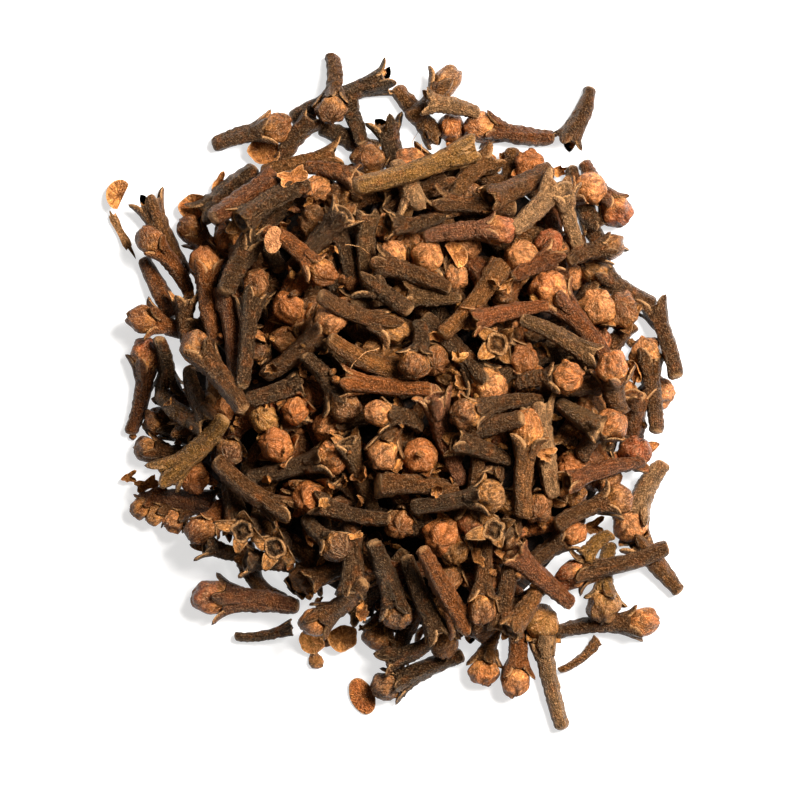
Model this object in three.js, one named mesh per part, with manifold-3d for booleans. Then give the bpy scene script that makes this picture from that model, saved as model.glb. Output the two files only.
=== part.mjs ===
// A heap of whole dried cloves, lying as it was poured out.
//
// A clove is a stem that widens to its calyx, with four pointed lobes round a closed bud. Some
// have lost the bud, and some are bare stems. Each clove is laid by one rule: it comes down on
// what already lies there and rests on two supports, one on each side of its middle. First come
// the cloves round the edge, then a layer that is buried, then the ones that are seen best, and
// last the ones that fill in between. The buried layer is one solid core, and the cloves that
// show are fused on it. Millimetres, +Z up, origin in the middle of the heap's footprint.

import * as THREE from "three";
import { mergeVertices } from "three/addons/utils/BufferGeometryUtils.js";
import Module from "manifold-3d";

const wasm = await Module();
wasm.setup();

// ---- driving dimensions -------------------------------------------------------------------

const HEAP_RADIUS = 40.5;  // mean radius of the heap without its strays
const CROWN = 18;          // height that the cloves are filled up to in the middle
const EDGE = 3.5;          // the same at the heap's edge, one clove thick
const BED_HEIGHT = 8;      // height of the mound that the first cloves are laid on
const BED_REACH = 0.85;    // its share of the heap's radius
const CORE_REACH = 0.93;   // share of the heap's radius that the solid core takes up
const CORE_SINK = 0.6;     // depth of the core's surface under the crests of the buried cloves

const TAIL_RADIUS = 1.3;   // stem at its blunt end
const WAIST_RADIUS = 1.6;  // stem half way
const CALYX_RADIUS = 2.05; // stem where the lobes leave it
const LOBE_REACH = 1.9;    // one calyx lobe, out from the stem's side to its tip
const BUD_RADIUS = 2.5;    // the closed round bud
const BURIED_STEM = 5;     // length of stem made under a clove that stands in the heap
const CORNER = 1.2;        // corner radius of a four-sided stem, to the round stem's radius

const BITE = 0.45;         // how far a clove sinks into what it rests on
const STEEPEST = 0.5;      // greatest slope of a lying clove
const STANDING = 1.6;      // slope of a clove that stands in the heap

// Waves that make the heap's outline uneven: how many go round, their height and bearing.
const OUTLINE_WAVES = [[1, 1.1, -0.45], [2, 1, -1.2], [3, 1.3, 0.9], [5, 1.3, -0.1]];

// The fillings: how many cloves, how full the mound gets and how far they may lie above that,
// the places drawn for each, half of the shortest clove, and how much of it may hide others.
const BURIED_LAYER = { count: 130, level: 0.75, above: 0, tries: 16, shortest: 5, hides: 0.3 };
const UPPER_LAYER = { count: 90, level: 1, above: 1.5, tries: 60, shortest: 5, hides: 0.3 };
const BROKEN_PIECES = { count: 90, level: 1, above: 1.5, tries: 60, shortest: 3.2, hides: 0.4 };

// Kind, tail x and y, head x and y, girth of each clove at the edge, the lowest first.
const EDGE_CLOVES = [
  ["open", -17, 42, -3, 47.5, 1],
  ["stem", -19, 35, -14, 41.5, 1],
  ["stem", -12.5, 40.5, -4.5, 36.5, 1],
  ["open", -6.5, 38, -8.5, 44, 0.85],
  ["open", -21.5, 33.5, -11, 36, 0.9],
  ["whole", -29, 38, -19.5, 40.5, 1],
  ["whole", -11, 51.5, -11, 43, 1],
  ["stem", -40, 20, -35.5, 11.5, 1.05],
  ["open", -33.5, 18, -39, 28.5, 1.1],
  ["open", -23, 34, -30, 27, 1.3],
  ["whole", -31, 9, -40, 11, 1],
  ["whole", -42, -6.5, -39.5, 5.5, 0.95],
  ["open", -37.5, 7.5, -36.5, 1, 1],
  ["open", -25.5, -1, -36.5, -2, 1],
  ["whole", -29, -9, -38, -5, 0.95],
  ["whole", -30.5, -10, -39.5, -9.5, 0.9],
  ["stem", -40.5, -17, -29.5, -18, 1.3],
  ["whole", -25.5, -17, -31, -22, 0.95],
  ["stem", -21, -33, -24.5, -24, 0.9],
  ["open", -25, -25.5, -30, -24, 0.8],
  ["whole", -16.5, -33.5, -29.5, -32, 1.3],
  ["whole", 9, -41, -2.5, -46, 1],
  ["whole", -0.5, -28, -4, -38, 1],
  ["whole", 5.5, -28.5, 6.5, -39, 0.95],
  ["whole", 13.5, -34, 12.5, -43.5, 1],
  ["whole", 17, -35.5, 17.5, -45, 1.1],
  ["stem", 24.5, -52, 21.5, -38.5, 1.05],
  ["whole", 24, -37.5, 37, -36, 1],
  ["open", 42.5, -31, 36.5, -24, 1.05],
  ["whole", 32, -24, 31, -33.5, 1],
  ["whole", 40.5, -24.5, 26, -28.5, 1.05],
  ["open", 40, -11.5, 36, -19, 1.3],
  ["whole", 32, -2, 39.5, -0.5, 0.95],
  ["whole", 39, -6.5, 37.5, 5.5, 1.05],
  ["open", 42, 2, 39, 12, 1],
  ["whole", 38.5, 13, 29.5, 18, 1.05],
  ["open", 28.5, 28, 31, 22, 1.1],
  ["whole", 28, 35, 33, 27.5, 0.95],
  ["whole", 21.5, 26.5, 29, 31, 1],
  ["open", 29, 46.5, 25.5, 39, 1],
  ["whole", 23, 39, 12, 40.5, 1.05],
  ["stem", -1, 46.5, 5, 39, 0.95],
  ["whole", 1, 42, 7, 47.5, 1],
  ["open", 11.5, 42.5, 4, 44, 0.9],
  ["open", -0.5, 33.5, -2.5, 40.5, 1.15],
  ["upright", 9, 38, 7.5, 40.5, 0.9],
  ["stem", 17, 37, 16.5, 31, 0.95],
  ["upright", 18, 32, 19.5, 34.5, 0.85],
  ["whole", -26.5, 19.5, -33, 24.5, 0.95],
  ["open", -32.5, 5.5, -33.5, 13.5, 0.95],
  ["whole", -33, 15, -39, 23, 0.9],
];

// The same for the cloves on the heap. The tail of an upright one gives the side it leans from.
const TOP_CLOVES = [
  ["upright", -16, 10, -17.5, 12, 1.2],
  ["upright", -23, 14, -22.5, 16, 0.9],
  ["upright", -12, 32, -13, 30.5, 1],
  ["upright", 2.5, 18, 3.5, 20, 1.1],
  ["upright", -1.5, 23, -2.5, 24.5, 1],
  ["upright", -4.5, 33.5, -5.5, 35.5, 1.25],
  ["upright", 22.5, 20, 22.5, 22.5, 0.8],
  ["upright", 20, 18, 18, 20, 1.25],
  ["upright", 15, 26.5, 15, 24.5, 0.9],
  ["upright", 30.5, 10.5, 30, 12.5, 1.15],
  ["upright", 34, 10, 33.5, 12, 1.15],
  ["upright", 29, -14, 26, -12, 1.3],
  ["upright", 34, -12, 36, -9.5, 1.25],
  ["upright", 36.5, -23.5, 35, -21, 1.2],
  ["upright", 21, -16.5, 21, -18.5, 1.1],
  ["upright", 19.5, -38.5, 21.5, -36, 1.1],
  ["upright", -0.5, -18.5, -0.5, -21, 0.95],
  ["upright", 8.5, -21, 6.5, -23, 1.3],
  ["upright", 3.5, -12.5, 2.5, -10.5, 1.15],
  ["upright", -16, -30, -15, -29, 1.15],
  ["upright", -13, -15.5, -14.5, -17, 1.25],
  ["upright", -19.5, -6.5, -21, -5, 1],
  ["upright", -17.5, -10, -19.5, -9, 1.15],
  ["upright", -16, -2, -16.5, -3.5, 0.9],
  ["upright", -26, -8, -26.5, -10, 0.9],
  ["upright", -20.5, 4.5, -22.5, 6, 0.8],
  ["upright", -27.5, 21.5, -27, 23.5, 1],
  ["upright", -30.5, -12.5, -32, -14, 0.9],
  ["upright", 5, 6, 5, 4, 1],
  ["upright", 8, -27, 7, -29.5, 1],
  ["upright", 30.5, -5, 29, -3, 0.9],
  ["stem", -29, 26, -20, 32, 1.2],
  ["open", -15, 31.5, -24.5, 25.5, 1.15],
  ["whole", -28.5, 7, -30.5, 19.5, 1],
  ["stem", -25.5, 0, -27, 15, 1.1],
  ["open", -24.5, 0, -23.5, 13, 1],
  ["whole", -24.5, -3.5, -31.5, 6, 1.25],
  ["open", -27.5, -5, -36, -13, 1.4],
  ["stem", -23.5, -2, -16, 0.5, 1],
  ["whole", -21, 2, -11, 10, 1.1],
  ["open", 8, 30, 13, 35, 1.15],
  ["open", -1, 34.5, 1.5, 28, 1.3],
  ["stem", -8, 17, -11, 25.5, 1],
  ["stem", -5, 15, -5.5, 26, 1.05],
  ["open", 17, 27.5, 6.5, 28, 1],
  ["whole", 3.5, 23, 15, 24, 0.95],
  ["open", 17, 24, 23, 30.5, 1.2],
  ["stem", 22.5, 33.5, 13.5, 29, 1.25],
  ["open", 27.5, 20, 24.5, 29.5, 1],
  ["open", 8.5, 13.5, 1, 14, 1],
  ["whole", -12.5, 13.5, -1.5, 9, 1],
  ["stem", -11, 7, -2, 2.5, 1],
  ["whole", -15, 4.5, -9, -3, 1],
  ["open", 4, -0.5, -8.5, 0.5, 1],
  ["whole", 3.5, 10.5, 13, 0, 1.2],
  ["stem", 6, 8, 15, 18.5, 1.05],
  ["open", 20.5, 10.5, 14.5, 6.5, 1],
  ["whole", 31.5, 4, 22.5, 15, 1.25],
  ["stem", 21.5, 0, 31, 1, 1],
  ["whole", 33.5, -3.5, 32, 3, 1.2],
  ["whole", 27.5, -10.5, 32, -5.5, 0.95],
  ["stem", 24, -2.5, 30, -6.5, 1.1],
  ["open", 23, -16.5, 20.5, -3, 1.25],
  ["whole", 18.5, -19.5, 19, -6.5, 1.2],
  ["stem", 18, -5, 9, -7.5, 1.1],
  ["whole", -1, -2, -3, -10.5, 1.05],
  ["open", 9, -14.5, 5, -2, 1.1],
  ["stem", 8, -16, -3.5, -15, 1.15],
  ["stem", -6.5, -18, -10, -14, 1],
  ["whole", -23.5, -14, -10.5, -10.5, 1.1],
  ["open", -19.5, -17, -24.5, -22, 1],
  ["open", -16, -19.5, -19.5, -24.5, 1],
  ["stem", -8, -21, -8, -31.5, 1.25],
  ["whole", -6, -30, -13.5, -36, 1.05],
  ["whole", -4.5, -24, -0.5, -34.5, 1.15],
  ["open", 3, -25, 9, -36, 1.1],
  ["stem", 17, -25.5, 15, -36.5, 1.1],
  ["stem", 20.5, -31.5, 16.5, -37, 1.05],
  ["open", 22, -26, 14, -22, 1],
  ["stem", -7, 30.5, 10, 36.5, 1.35],
];

// ---- chance, seeded -----------------------------------------------------------------------

let seed = 20261;

function draw() {
  seed = (seed * 16807) % 2147483647;
  return seed / 2147483647;
}

function between(low, high) {
  return low + (high - low) * draw();
}

// ---- the heap as a mound ------------------------------------------------------------------

function heapRadius(bearing) {
  const waves = OUTLINE_WAVES.map(([count, height, start]) => height * Math.cos(count * (bearing - start)));
  return waves.reduce((sum, wave) => sum + wave, HEAP_RADIUS);
}

// Distance from the middle as a share of the outline's radius.
function reachShare(x, y) {
  return Math.hypot(x, y) / heapRadius(Math.atan2(y, x));
}

// A mound's height, from 1 in the middle to 0 at its edge.
function mound(share) {
  return share < 1 ? (1 - share ** 2.2) ** 0.9 : 0;
}

// How high the cloves may lie when the mound is filled to a level.
function ceiling(x, y, level) {
  const share = reachShare(x, y);
  return share < 1 ? EDGE + (CROWN - EDGE) * level * mound(share) : 0;
}

// ---- the bed: the height of what already lies there, on a square grid ----------------------

const CELL = 0.5;
const SPAN = 60;
const CELLS = 2 * SPAN / CELL;

const cellOf = (place) => Math.floor((place + SPAN) / CELL);
const middleOf = (cell) => -SPAN + (cell + 0.5) * CELL;

const bed = [];    // heights
const taken = [];  // 1 where a clove that is laid by hand lies on top
for (let i = 0; i < CELLS; i++) {
  bed.push([]);
  taken.push(new Array(CELLS).fill(0));
  for (let j = 0; j < CELLS; j++) {
    bed[i].push(BED_HEIGHT * mound(reachShare(middleOf(i), middleOf(j)) / BED_REACH));
  }
}

// The highest point of the bed within a clove's width.
function crest(x, y) {
  const around = [-2, 0, 2];
  return Math.max(...around.flatMap((dx) => around.map((dy) => bed[cellOf(x + dx)][cellOf(y + dy)])));
}

// ---- one clove ----------------------------------------------------------------------------

const hasBud = (c) => c.kind === "whole" || c.kind === "upright";
const stands = (c) => c.kind === "upright";
const budRadius = (c) => BUD_RADIUS * (0.5 + 0.5 * c.girth);

// How far the stem reaches when the bud's middle, or else the stem's end, is at a length.
const stemEnd = (c, length) => (hasBud(c) ? length - 0.8 * budRadius(c) : length);

// A clove, level, over the line in plan from the tail to the middle of its head.
function newClove(kind, tail, head, girth, bow, byHand) {
  const run = Math.hypot(head[0] - tail[0], head[1] - tail[1]);
  const ahead = [(head[0] - tail[0]) / run, (head[1] - tail[1]) / run];
  return { kind, tail, head, run, ahead, girth, bow, byHand, slope: 0, rise: 0, hidden: 0 };
}

// Radius of a clove at a distance from its tail.
function radiusAt(c, along) {
  const fromBud = Math.abs(along - c.run);
  const round = hasBud(c) && fromBud < budRadius(c) ? Math.sqrt(budRadius(c) ** 2 - fromBud ** 2) : 0;
  const share = along / stemEnd(c, c.run);
  if (stands(c) || share < 0 || share > 1) return round;
  const straight = TAIL_RADIUS + (WAIST_RADIUS - TAIL_RADIUS) * share;
  const flare = (CALYX_RADIUS - WAIST_RADIUS) * Math.max(0, 4 * share - 3) ** 1.5;
  return Math.max(round, c.girth * (straight + flare));
}

// How far the bent stem is off its line, to the clove's right.
function bowAt(c, along) {
  const share = Math.min(1, Math.max(0, along / c.run));
  return 4 * c.bow * share * (1 - share);
}

// The grid cell under a point that is so far along a clove and so far to its right.
function cellUnder(c, along, across) {
  const x = c.tail[0] + c.ahead[0] * along + c.ahead[1] * across;
  const y = c.tail[1] + c.ahead[1] * along - c.ahead[0] * across;
  return [cellOf(x), cellOf(y)];
}

// ---- laying a clove -----------------------------------------------------------------------

// Lets a clove down on the bed: it rests on the highest line that two supports carry.
function settle(c) {
  const end = hasBud(c) ? c.run + 0.7 * BUD_RADIUS : c.run - 0.3;
  const steps = Math.ceil(end / 1.2);
  const sides = [-0.8, -0.4, 0, 0.4, 0.8];
  const supports = [];
  c.hidden = 0;
  for (let k = 0; k <= steps; k++) {
    const along = 0.4 + (end - 0.4) * k / steps;
    const radius = radiusAt(c, along);
    let height = 0;
    for (const side of sides) {
      const [i, j] = cellUnder(c, along, bowAt(c, along) + side * radius);
      height = Math.max(height, bed[i][j] + radius * Math.sqrt(1 - side ** 2));
      c.hidden += taken[i][j] / (sides.length * (steps + 1));
    }
    supports.push([along, height]);
  }
  const middle = 0.56 * c.run;
  let highest = 0;
  for (const [a, heightA] of supports.filter(([along]) => along <= middle)) {
    for (const [b, heightB] of supports.filter(([along]) => along > middle)) {
      const slope = (heightB - heightA) / (b - a);
      const height = heightA + slope * (middle - a);
      if (height > highest) {
        highest = height;
        c.slope = slope;
      }
    }
  }
  c.slope = Math.min(STEEPEST, Math.max(-STEEPEST, c.slope));
  c.rise = highest - BITE - c.slope * middle;
}

// Stands a clove in the heap, its bud at the top and its stem down between the others.
function stand(c) {
  const [x, y] = c.head;
  const ball = budRadius(c);
  const top = Math.max(ceiling(x, y, 1) + 0.3, bed[cellOf(x)][cellOf(y)] + 0.5 * ball);
  c.slope = STANDING;
  c.rise = Math.max(ball, top - ball) - BITE - c.slope * c.run;
}

// Height of a clove's axis at a distance from its tail.
function axisHeight(c, along) {
  return c.rise + c.slope * Math.min(along, c.run);
}

// Raises the bed to the top of a clove that now lies there.
function raiseBed(c) {
  const margin = 2 * BUD_RADIUS;
  const [fromX, toX] = [c.tail[0], c.head[0]].sort((a, b) => a - b);
  const [fromY, toY] = [c.tail[1], c.head[1]].sort((a, b) => a - b);
  for (let i = cellOf(fromX - margin); i <= cellOf(toX + margin); i++) {
    for (let j = cellOf(fromY - margin); j <= cellOf(toY + margin); j++) {
      const [dx, dy] = [middleOf(i) - c.tail[0], middleOf(j) - c.tail[1]];
      const along = dx * c.ahead[0] + dy * c.ahead[1];
      const across = dx * c.ahead[1] - dy * c.ahead[0] - bowAt(c, along);
      const radius = radiusAt(c, along);
      if (Math.abs(across) >= radius) continue;
      const height = axisHeight(c, along) + Math.sqrt(radius ** 2 - across ** 2);
      if (height <= bed[i][j]) continue;
      bed[i][j] = height;
      if (c.byHand) taken[i][j] = 1;
    }
  }
}

const heap = [];

function layByHand(rows) {
  for (const [kind, tailX, tailY, headX, headY, girth] of rows) {
    const c = newClove(kind, [tailX, tailY], [headX, headY], girth, between(-0.7, 0.7), true);
    if (stands(c)) stand(c);
    else settle(c);
    raiseBed(c);
    heap.push(c);
  }
}

// A clove at a place drawn by chance in the heap's outline.
function drawnClove(shortest) {
  const bearing = between(-Math.PI, Math.PI);
  const out = 0.98 * Math.sqrt(draw()) * heapRadius(bearing);
  const heading = between(-Math.PI, Math.PI);
  const half = between(shortest, shortest + 1.2);
  const [x, y] = [out * Math.cos(bearing), out * Math.sin(bearing)];
  const [dx, dy] = [half * Math.cos(heading), half * Math.sin(heading)];
  const kind = draw() < 0.6 ? "whole" : "open";
  const girth = between(0.85, 1.2);
  return newClove(kind, [x - dx, y - dy], [x + dx, y + dy], girth, between(-0.8, 0.8), false);
}

// Of the places drawn, each clove takes the one with the most room under the ceiling.
function fill({ count, level, above, tries, shortest, hides }) {
  for (let n = 0; n < count; n++) {
    let best = null;
    let mostRoom = 0;
    for (let t = 0; t < tries; t++) {
      const c = drawnClove(shortest);
      if (Math.max(reachShare(...c.tail), reachShare(...c.head)) > 1) continue;
      settle(c);
      if (c.hidden > hides) continue;
      const [x, y] = [0.5 * (c.tail[0] + c.head[0]), 0.5 * (c.tail[1] + c.head[1])];
      const room = ceiling(x, y, level) + above - axisHeight(c, 0.5 * c.run) - WAIST_RADIUS;
      if (room > mostRoom) {
        mostRoom = room;
        best = c;
      }
    }
    if (!best) continue;
    raiseBed(best);
    heap.push(best);
  }
}

// Whether enough of a clove lies on top once the heap is whole: more is asked of a small filler.
function shows(c) {
  const shares = stands(c) ? [1] : [0.1, 0.3, 0.5, 0.7, 0.9];
  const seen = shares.filter((share) => {
    const along = share * c.run;
    const [i, j] = cellUnder(c, along, bowAt(c, along));
    return bed[i][j] < axisHeight(c, along) + radiusAt(c, along) + 0.3;
  });
  return seen.length >= (c.byHand ? 0.6 : 0.8) * shares.length;
}

// ---- solids -------------------------------------------------------------------------------

const turnedGeometry = (outline, sides, start = 0) =>
  new THREE.LatheGeometry(outline.map(([radius, height]) => new THREE.Vector2(radius, height)), sides, start);

// A geometry whose faces share their corners.
function welded(geometry) {
  geometry.deleteAttribute("normal");
  geometry.deleteAttribute("uv");
  return mergeVertices(geometry, 1e-4);
}

// A closed geometry as a solid that can be joined and cut, without the faces that are only lines.
function solid(geometry) {
  const { attributes, index } = welded(geometry);
  const corners = [];
  for (let t = 0; t < index.count; t += 3) {
    const [a, b, c] = [index.getX(t), index.getX(t + 1), index.getX(t + 2)];
    if (a !== b && b !== c && c !== a) corners.push(a, b, c);
  }
  return new wasm.Manifold(new wasm.Mesh({
    numProp: 3, vertProperties: attributes.position.array, triVerts: new Uint32Array(corners),
  }));
}

// The core: a flat-bottomed mound drawn in and out to the heap's outline, its surface raised to
// the crests of the cloves that are buried in it.
function coreGeometry() {
  const rings = [1, 0.9, 0.7, 0.4, 0];
  const outline = [[0, 0], ...rings.map((ring) => [ring * CORE_REACH, 1 - ring])];
  const core = welded(turnedGeometry(outline, 28).rotateX(Math.PI / 2));
  const position = core.attributes.position;
  for (let i = 0; i < position.count; i++) {
    const radius = heapRadius(Math.atan2(position.getY(i), position.getX(i)));
    const [x, y] = [position.getX(i) * radius, position.getY(i) * radius];
    const atTop = position.getZ(i) > 0.01;
    position.setXYZ(i, x, y, atTop ? crest(x, y) - CORE_SINK : 0);
  }
  return core;
}

// A clove turned about Y with its tail at 0. A filler has fewer rings. An open calyx is turned
// with four sides, and the corners of its last ring are drawn out into the four lobes.
function cloveGeometry(c, length) {
  const end = stemEnd(c, length);
  const start = stands(c) ? end - BURIED_STEM : 0;
  const lobed = c.kind === "open" && c.byHand;
  const girth = lobed ? CORNER * c.girth : c.girth;
  const ball = budRadius(c);
  const outline = [[0, start], [TAIL_RADIUS * girth, start]];
  if (c.byHand && !stands(c)) outline.push([WAIST_RADIUS * girth, 0.6 * end]);
  if (lobed) {
    outline.push([WAIST_RADIUS * girth, end - 1], [CALYX_RADIUS * c.girth + LOBE_REACH, end + 0.6]);
    outline.push([0, end - 0.6]);
  } else {
    outline.push([CALYX_RADIUS * girth, end]);
    if (!hasBud(c)) outline.push([0, end]);
    else if (c.byHand) outline.push([ball, length - 0.1 * ball], [0.7 * ball, length + 0.7 * ball]);
    else outline.push([ball, length + 0.15 * ball]);
    if (hasBud(c)) outline.push([0, length + ball]);
  }
  return turnedGeometry(outline, lobed ? 4 : 5, c.bow);
}

// Bends a clove's geometry to its bow and lays its Y axis along the clove.
function laid(geometry, c, length) {
  const position = geometry.attributes.position;
  for (let i = 0; i < position.count; i++) {
    position.setX(i, position.getX(i) + bowAt(c, position.getY(i) * c.run / length));
  }
  const ahead = new THREE.Vector3(c.ahead[0], c.ahead[1], c.slope).normalize();
  const right = new THREE.Vector3(c.ahead[1], -c.ahead[0], 0);
  const turn = new THREE.Matrix4().makeBasis(right, ahead, right.clone().cross(ahead));
  return geometry.applyMatrix4(turn.setPosition(c.tail[0], c.tail[1], c.rise));
}

function cloveSolid(c) {
  const length = c.run * Math.hypot(1, c.slope);
  return solid(laid(cloveGeometry(c, length), c, length));
}

// ---- the heap -----------------------------------------------------------------------------

layByHand(EDGE_CLOVES);
fill(BURIED_LAYER);
const core = solid(coreGeometry());
layByHand(TOP_CLOVES);
fill(UPPER_LAYER);
fill(BROKEN_PIECES);

// What reaches under the floor is cut off, which leaves each clove there a flat to lie on.
const underFloor = new THREE.BoxGeometry(2 * SPAN, 2 * SPAN, SPAN).translate(0, 0, -SPAN / 2);
const onTop = heap.filter((c, k) => k < EDGE_CLOVES.length || shows(c));
const joined = wasm.Manifold.union([core, ...onTop.map(cloveSolid)]);
const bodies = joined.subtract(solid(underFloor)).decompose();

// Scraps that touch nothing are dropped.
const largest = bodies.reduce((a, b) => (a.volume() > b.volume() ? a : b));
const { vertProperties, triVerts } = largest.getMesh();

const surface = new THREE.BufferGeometry();
surface.setAttribute("position", new THREE.BufferAttribute(vertProperties, 3));
surface.setIndex(new THREE.BufferAttribute(triVerts, 1));

const cloves = new THREE.Mesh(surface, new THREE.MeshStandardMaterial({
  color: 0x6b4429, roughness: 0.75, metalness: 0,
}));
cloves.name = "clove_heap";

const part = new THREE.Group();
part.add(cloves);
export default part;
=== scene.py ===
# %% [markdown]
# # A heap of whole cloves
#
# This lesson dresses a plain solid of a spice heap as the real thing: a few hundred dried cloves
# that lie as they were poured out. A clove is a flower bud picked before it opens. Its stem is
# slim and wrinkled, four thick pointed lobes stand round the stem's end, and a round bud sits
# between them. The solid that was packed for physics comes first, because every clove lies in
# the same place as there.

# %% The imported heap
import math
import random

import bpy
import numpy as np
from mathutils import Matrix, Vector


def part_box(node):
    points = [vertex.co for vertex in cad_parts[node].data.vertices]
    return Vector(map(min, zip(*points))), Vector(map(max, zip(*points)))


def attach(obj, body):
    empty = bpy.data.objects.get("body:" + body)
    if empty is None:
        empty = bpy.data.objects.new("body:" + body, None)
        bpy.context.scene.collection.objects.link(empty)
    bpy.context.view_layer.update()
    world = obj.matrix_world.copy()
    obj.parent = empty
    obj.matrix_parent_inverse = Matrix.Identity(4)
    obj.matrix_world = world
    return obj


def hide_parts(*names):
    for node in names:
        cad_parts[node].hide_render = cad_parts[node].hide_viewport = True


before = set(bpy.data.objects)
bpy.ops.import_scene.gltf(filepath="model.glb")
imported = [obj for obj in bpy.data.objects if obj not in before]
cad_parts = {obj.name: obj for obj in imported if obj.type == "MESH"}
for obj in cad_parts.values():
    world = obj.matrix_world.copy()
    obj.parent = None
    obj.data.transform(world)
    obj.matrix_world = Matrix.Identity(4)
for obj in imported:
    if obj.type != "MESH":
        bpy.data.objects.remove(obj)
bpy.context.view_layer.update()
low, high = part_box("clove_heap")
print("the heap measures", [round(1000 * (b - a), 1) for a, b in zip(low, high)], "mm")

# %% [markdown]
# ## The sizes
#
# Everything is worked out in millimetres and made smaller only when a mesh is written. The heap
# is a low mound with an uneven outline, which is a circle with a few slow waves on it: how many
# go round, their height and where they start. A clove's bud sits on the end of its stem, with its
# middle a share of its radius past it. A clove bites a little into what carries it, never lies
# steeper than one limit, and stands at another. Its supports are looked for in steps along it and
# at a few shares of its radius across it, on both sides of the place where it balances.

# %% Sizes in millimetres
MM = 0.001
HEAP_RADIUS = 40.5
OUTLINE_WAVES = [(1, 1.1, -0.45), (2, 1.0, -1.2), (3, 1.3, 0.9), (5, 1.3, -0.1)]
CROWN, EDGE = 18.0, 3.5
BED_HEIGHT, BED_REACH = 8.0, 0.85

TAIL_RADIUS, WAIST_RADIUS, CALYX_RADIUS = 1.3, 1.6, 2.05
STEM_LENGTH, BUD_RADIUS, BUD_SEAT = 10.0, 2.5, 0.8

BITE, STEEPEST, STANDING = 0.45, 0.5, 1.6
FIRST_PROBE, PROBE_STEP, BALANCE = 0.4, 1.2, 0.56
PROBES_ACROSS = (-0.8, -0.4, 0.0, 0.4, 0.8)

# %% [markdown]
# ## The cloves that are seen best
#
# A heap like this could be poured with a rigid body simulation, but then nobody decides where a
# clove ends up. Here the ones that catch the eye are placed one by one, and only their height is
# left to a rule. Each row names a kind, the tail's and the head's place in plan, the girth and a
# colour, or two of them for a stem and its bud. The first list lies round the rim on the table,
# lowest first.

# %% Cloves at the edge
EDGE_CLOVES = [
    ("open", -17, 42, -3, 47.5, 1, "dark"), ("stem", -19, 35, -14, 41.5, 1, "brown"),
    ("stem", -12.5, 40.5, -4.5, 36.5, 1, "dark"), ("open", -6.5, 38, -8.5, 44, 0.85, "dark"),
    ("open", -21.5, 33.5, -11, 36, 0.9, "tan"), ("whole", -29, 38, -19.5, 40.5, 1, "brown"),
    ("whole", -11, 51.5, -11, 43, 1, "brown/dark"), ("stem", -40, 20, -35.5, 11.5, 1.05, "orange"),
    ("open", -33.5, 18, -39, 28.5, 1.1, "tan"), ("open", -23, 34, -30, 27, 1.3, "dark"),
    ("whole", -31, 9, -40, 11, 1, "orange/brown"), ("whole", -42, -6.5, -39.5, 5.5, 0.95, "red"),
    ("open", -37.5, 7.5, -36.5, 1, 1, "dark"), ("open", -25.5, -1, -36.5, -2, 1, "red"),
    ("whole", -29, -9, -38, -5, 0.95, "dark/brown"),
    ("whole", -30.5, -10, -39.5, -9.5, 0.9, "brown"), ("stem", -40.5, -17, -29.5, -18, 1.3, "plum"),
    ("whole", -25.5, -17, -31, -22, 0.95, "orange/dark"),
    ("stem", -21, -33, -24.5, -24, 0.9, "brown"), ("open", -25, -25.5, -30, -24, 0.8, "dark"),
    ("whole", -16.5, -33.5, -29.5, -32, 1.3, "plum/red"),
    ("whole", 9, -41, -2.5, -46, 1, "dark/grey"), ("whole", -0.5, -28, -4, -38, 1, "brown"),
    ("whole", 5.5, -28.5, 6.5, -39, 0.95, "tan/dark"),
    ("whole", 13.5, -34, 12.5, -43.5, 1, "tan/orange"),
    ("whole", 17, -35.5, 17.5, -45, 1.1, "orange/tan"),
    ("stem", 24.5, -52, 21.5, -38.5, 1.05, "ash"), ("whole", 24, -37.5, 37, -36, 1, "brown/orange"),
    ("open", 42.5, -31, 36.5, -24, 1.05, "tan"), ("whole", 32, -24, 31, -33.5, 1, "olive/grey"),
    ("whole", 40.5, -24.5, 26, -28.5, 1.05, "brown/red"), ("open", 40, -11.5, 36, -19, 1.3, "ash"),
    ("whole", 32, -2, 39.5, -0.5, 0.95, "brown/tan"),
    ("whole", 39, -6.5, 37.5, 5.5, 1.05, "brown/tan"), ("open", 42, 2, 39, 12, 1, "brown"),
    ("whole", 38.5, 13, 29.5, 18, 1.05, "brown/olive"), ("open", 28.5, 28, 31, 22, 1.1, "dark"),
    ("whole", 28, 35, 33, 27.5, 0.95, "red"), ("whole", 21.5, 26.5, 29, 31, 1, "orange/tan"),
    ("open", 29, 46.5, 25.5, 39, 1, "brown"), ("whole", 23, 39, 12, 40.5, 1.05, "red/tan"),
    ("stem", -1, 46.5, 5, 39, 0.95, "tan"), ("whole", 1, 42, 7, 47.5, 1, "tan/grey"),
    ("open", 11.5, 42.5, 4, 44, 0.9, "ash"), ("open", -0.5, 33.5, -2.5, 40.5, 1.15, "dark"),
    ("upright", 9, 38, 7.5, 40.5, 0.9, "orange"), ("stem", 17, 37, 16.5, 31, 0.95, "tan"),
    ("upright", 18, 32, 19.5, 34.5, 0.85, "orange"),
    ("whole", -26.5, 19.5, -33, 24.5, 0.95, "orange/brown"),
    ("open", -32.5, 5.5, -33.5, 13.5, 0.95, "brown"),
    ("whole", -33, 15, -39, 23, 0.9, "orange/dark"),
]
print(len(EDGE_CLOVES), "cloves round the rim")

# %% [markdown]
# The second list comes on top. First there are the upright cloves, which stand between the others
# with their buds up: the tail gives the side that such a clove leans from. The rest lie on them.

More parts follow.
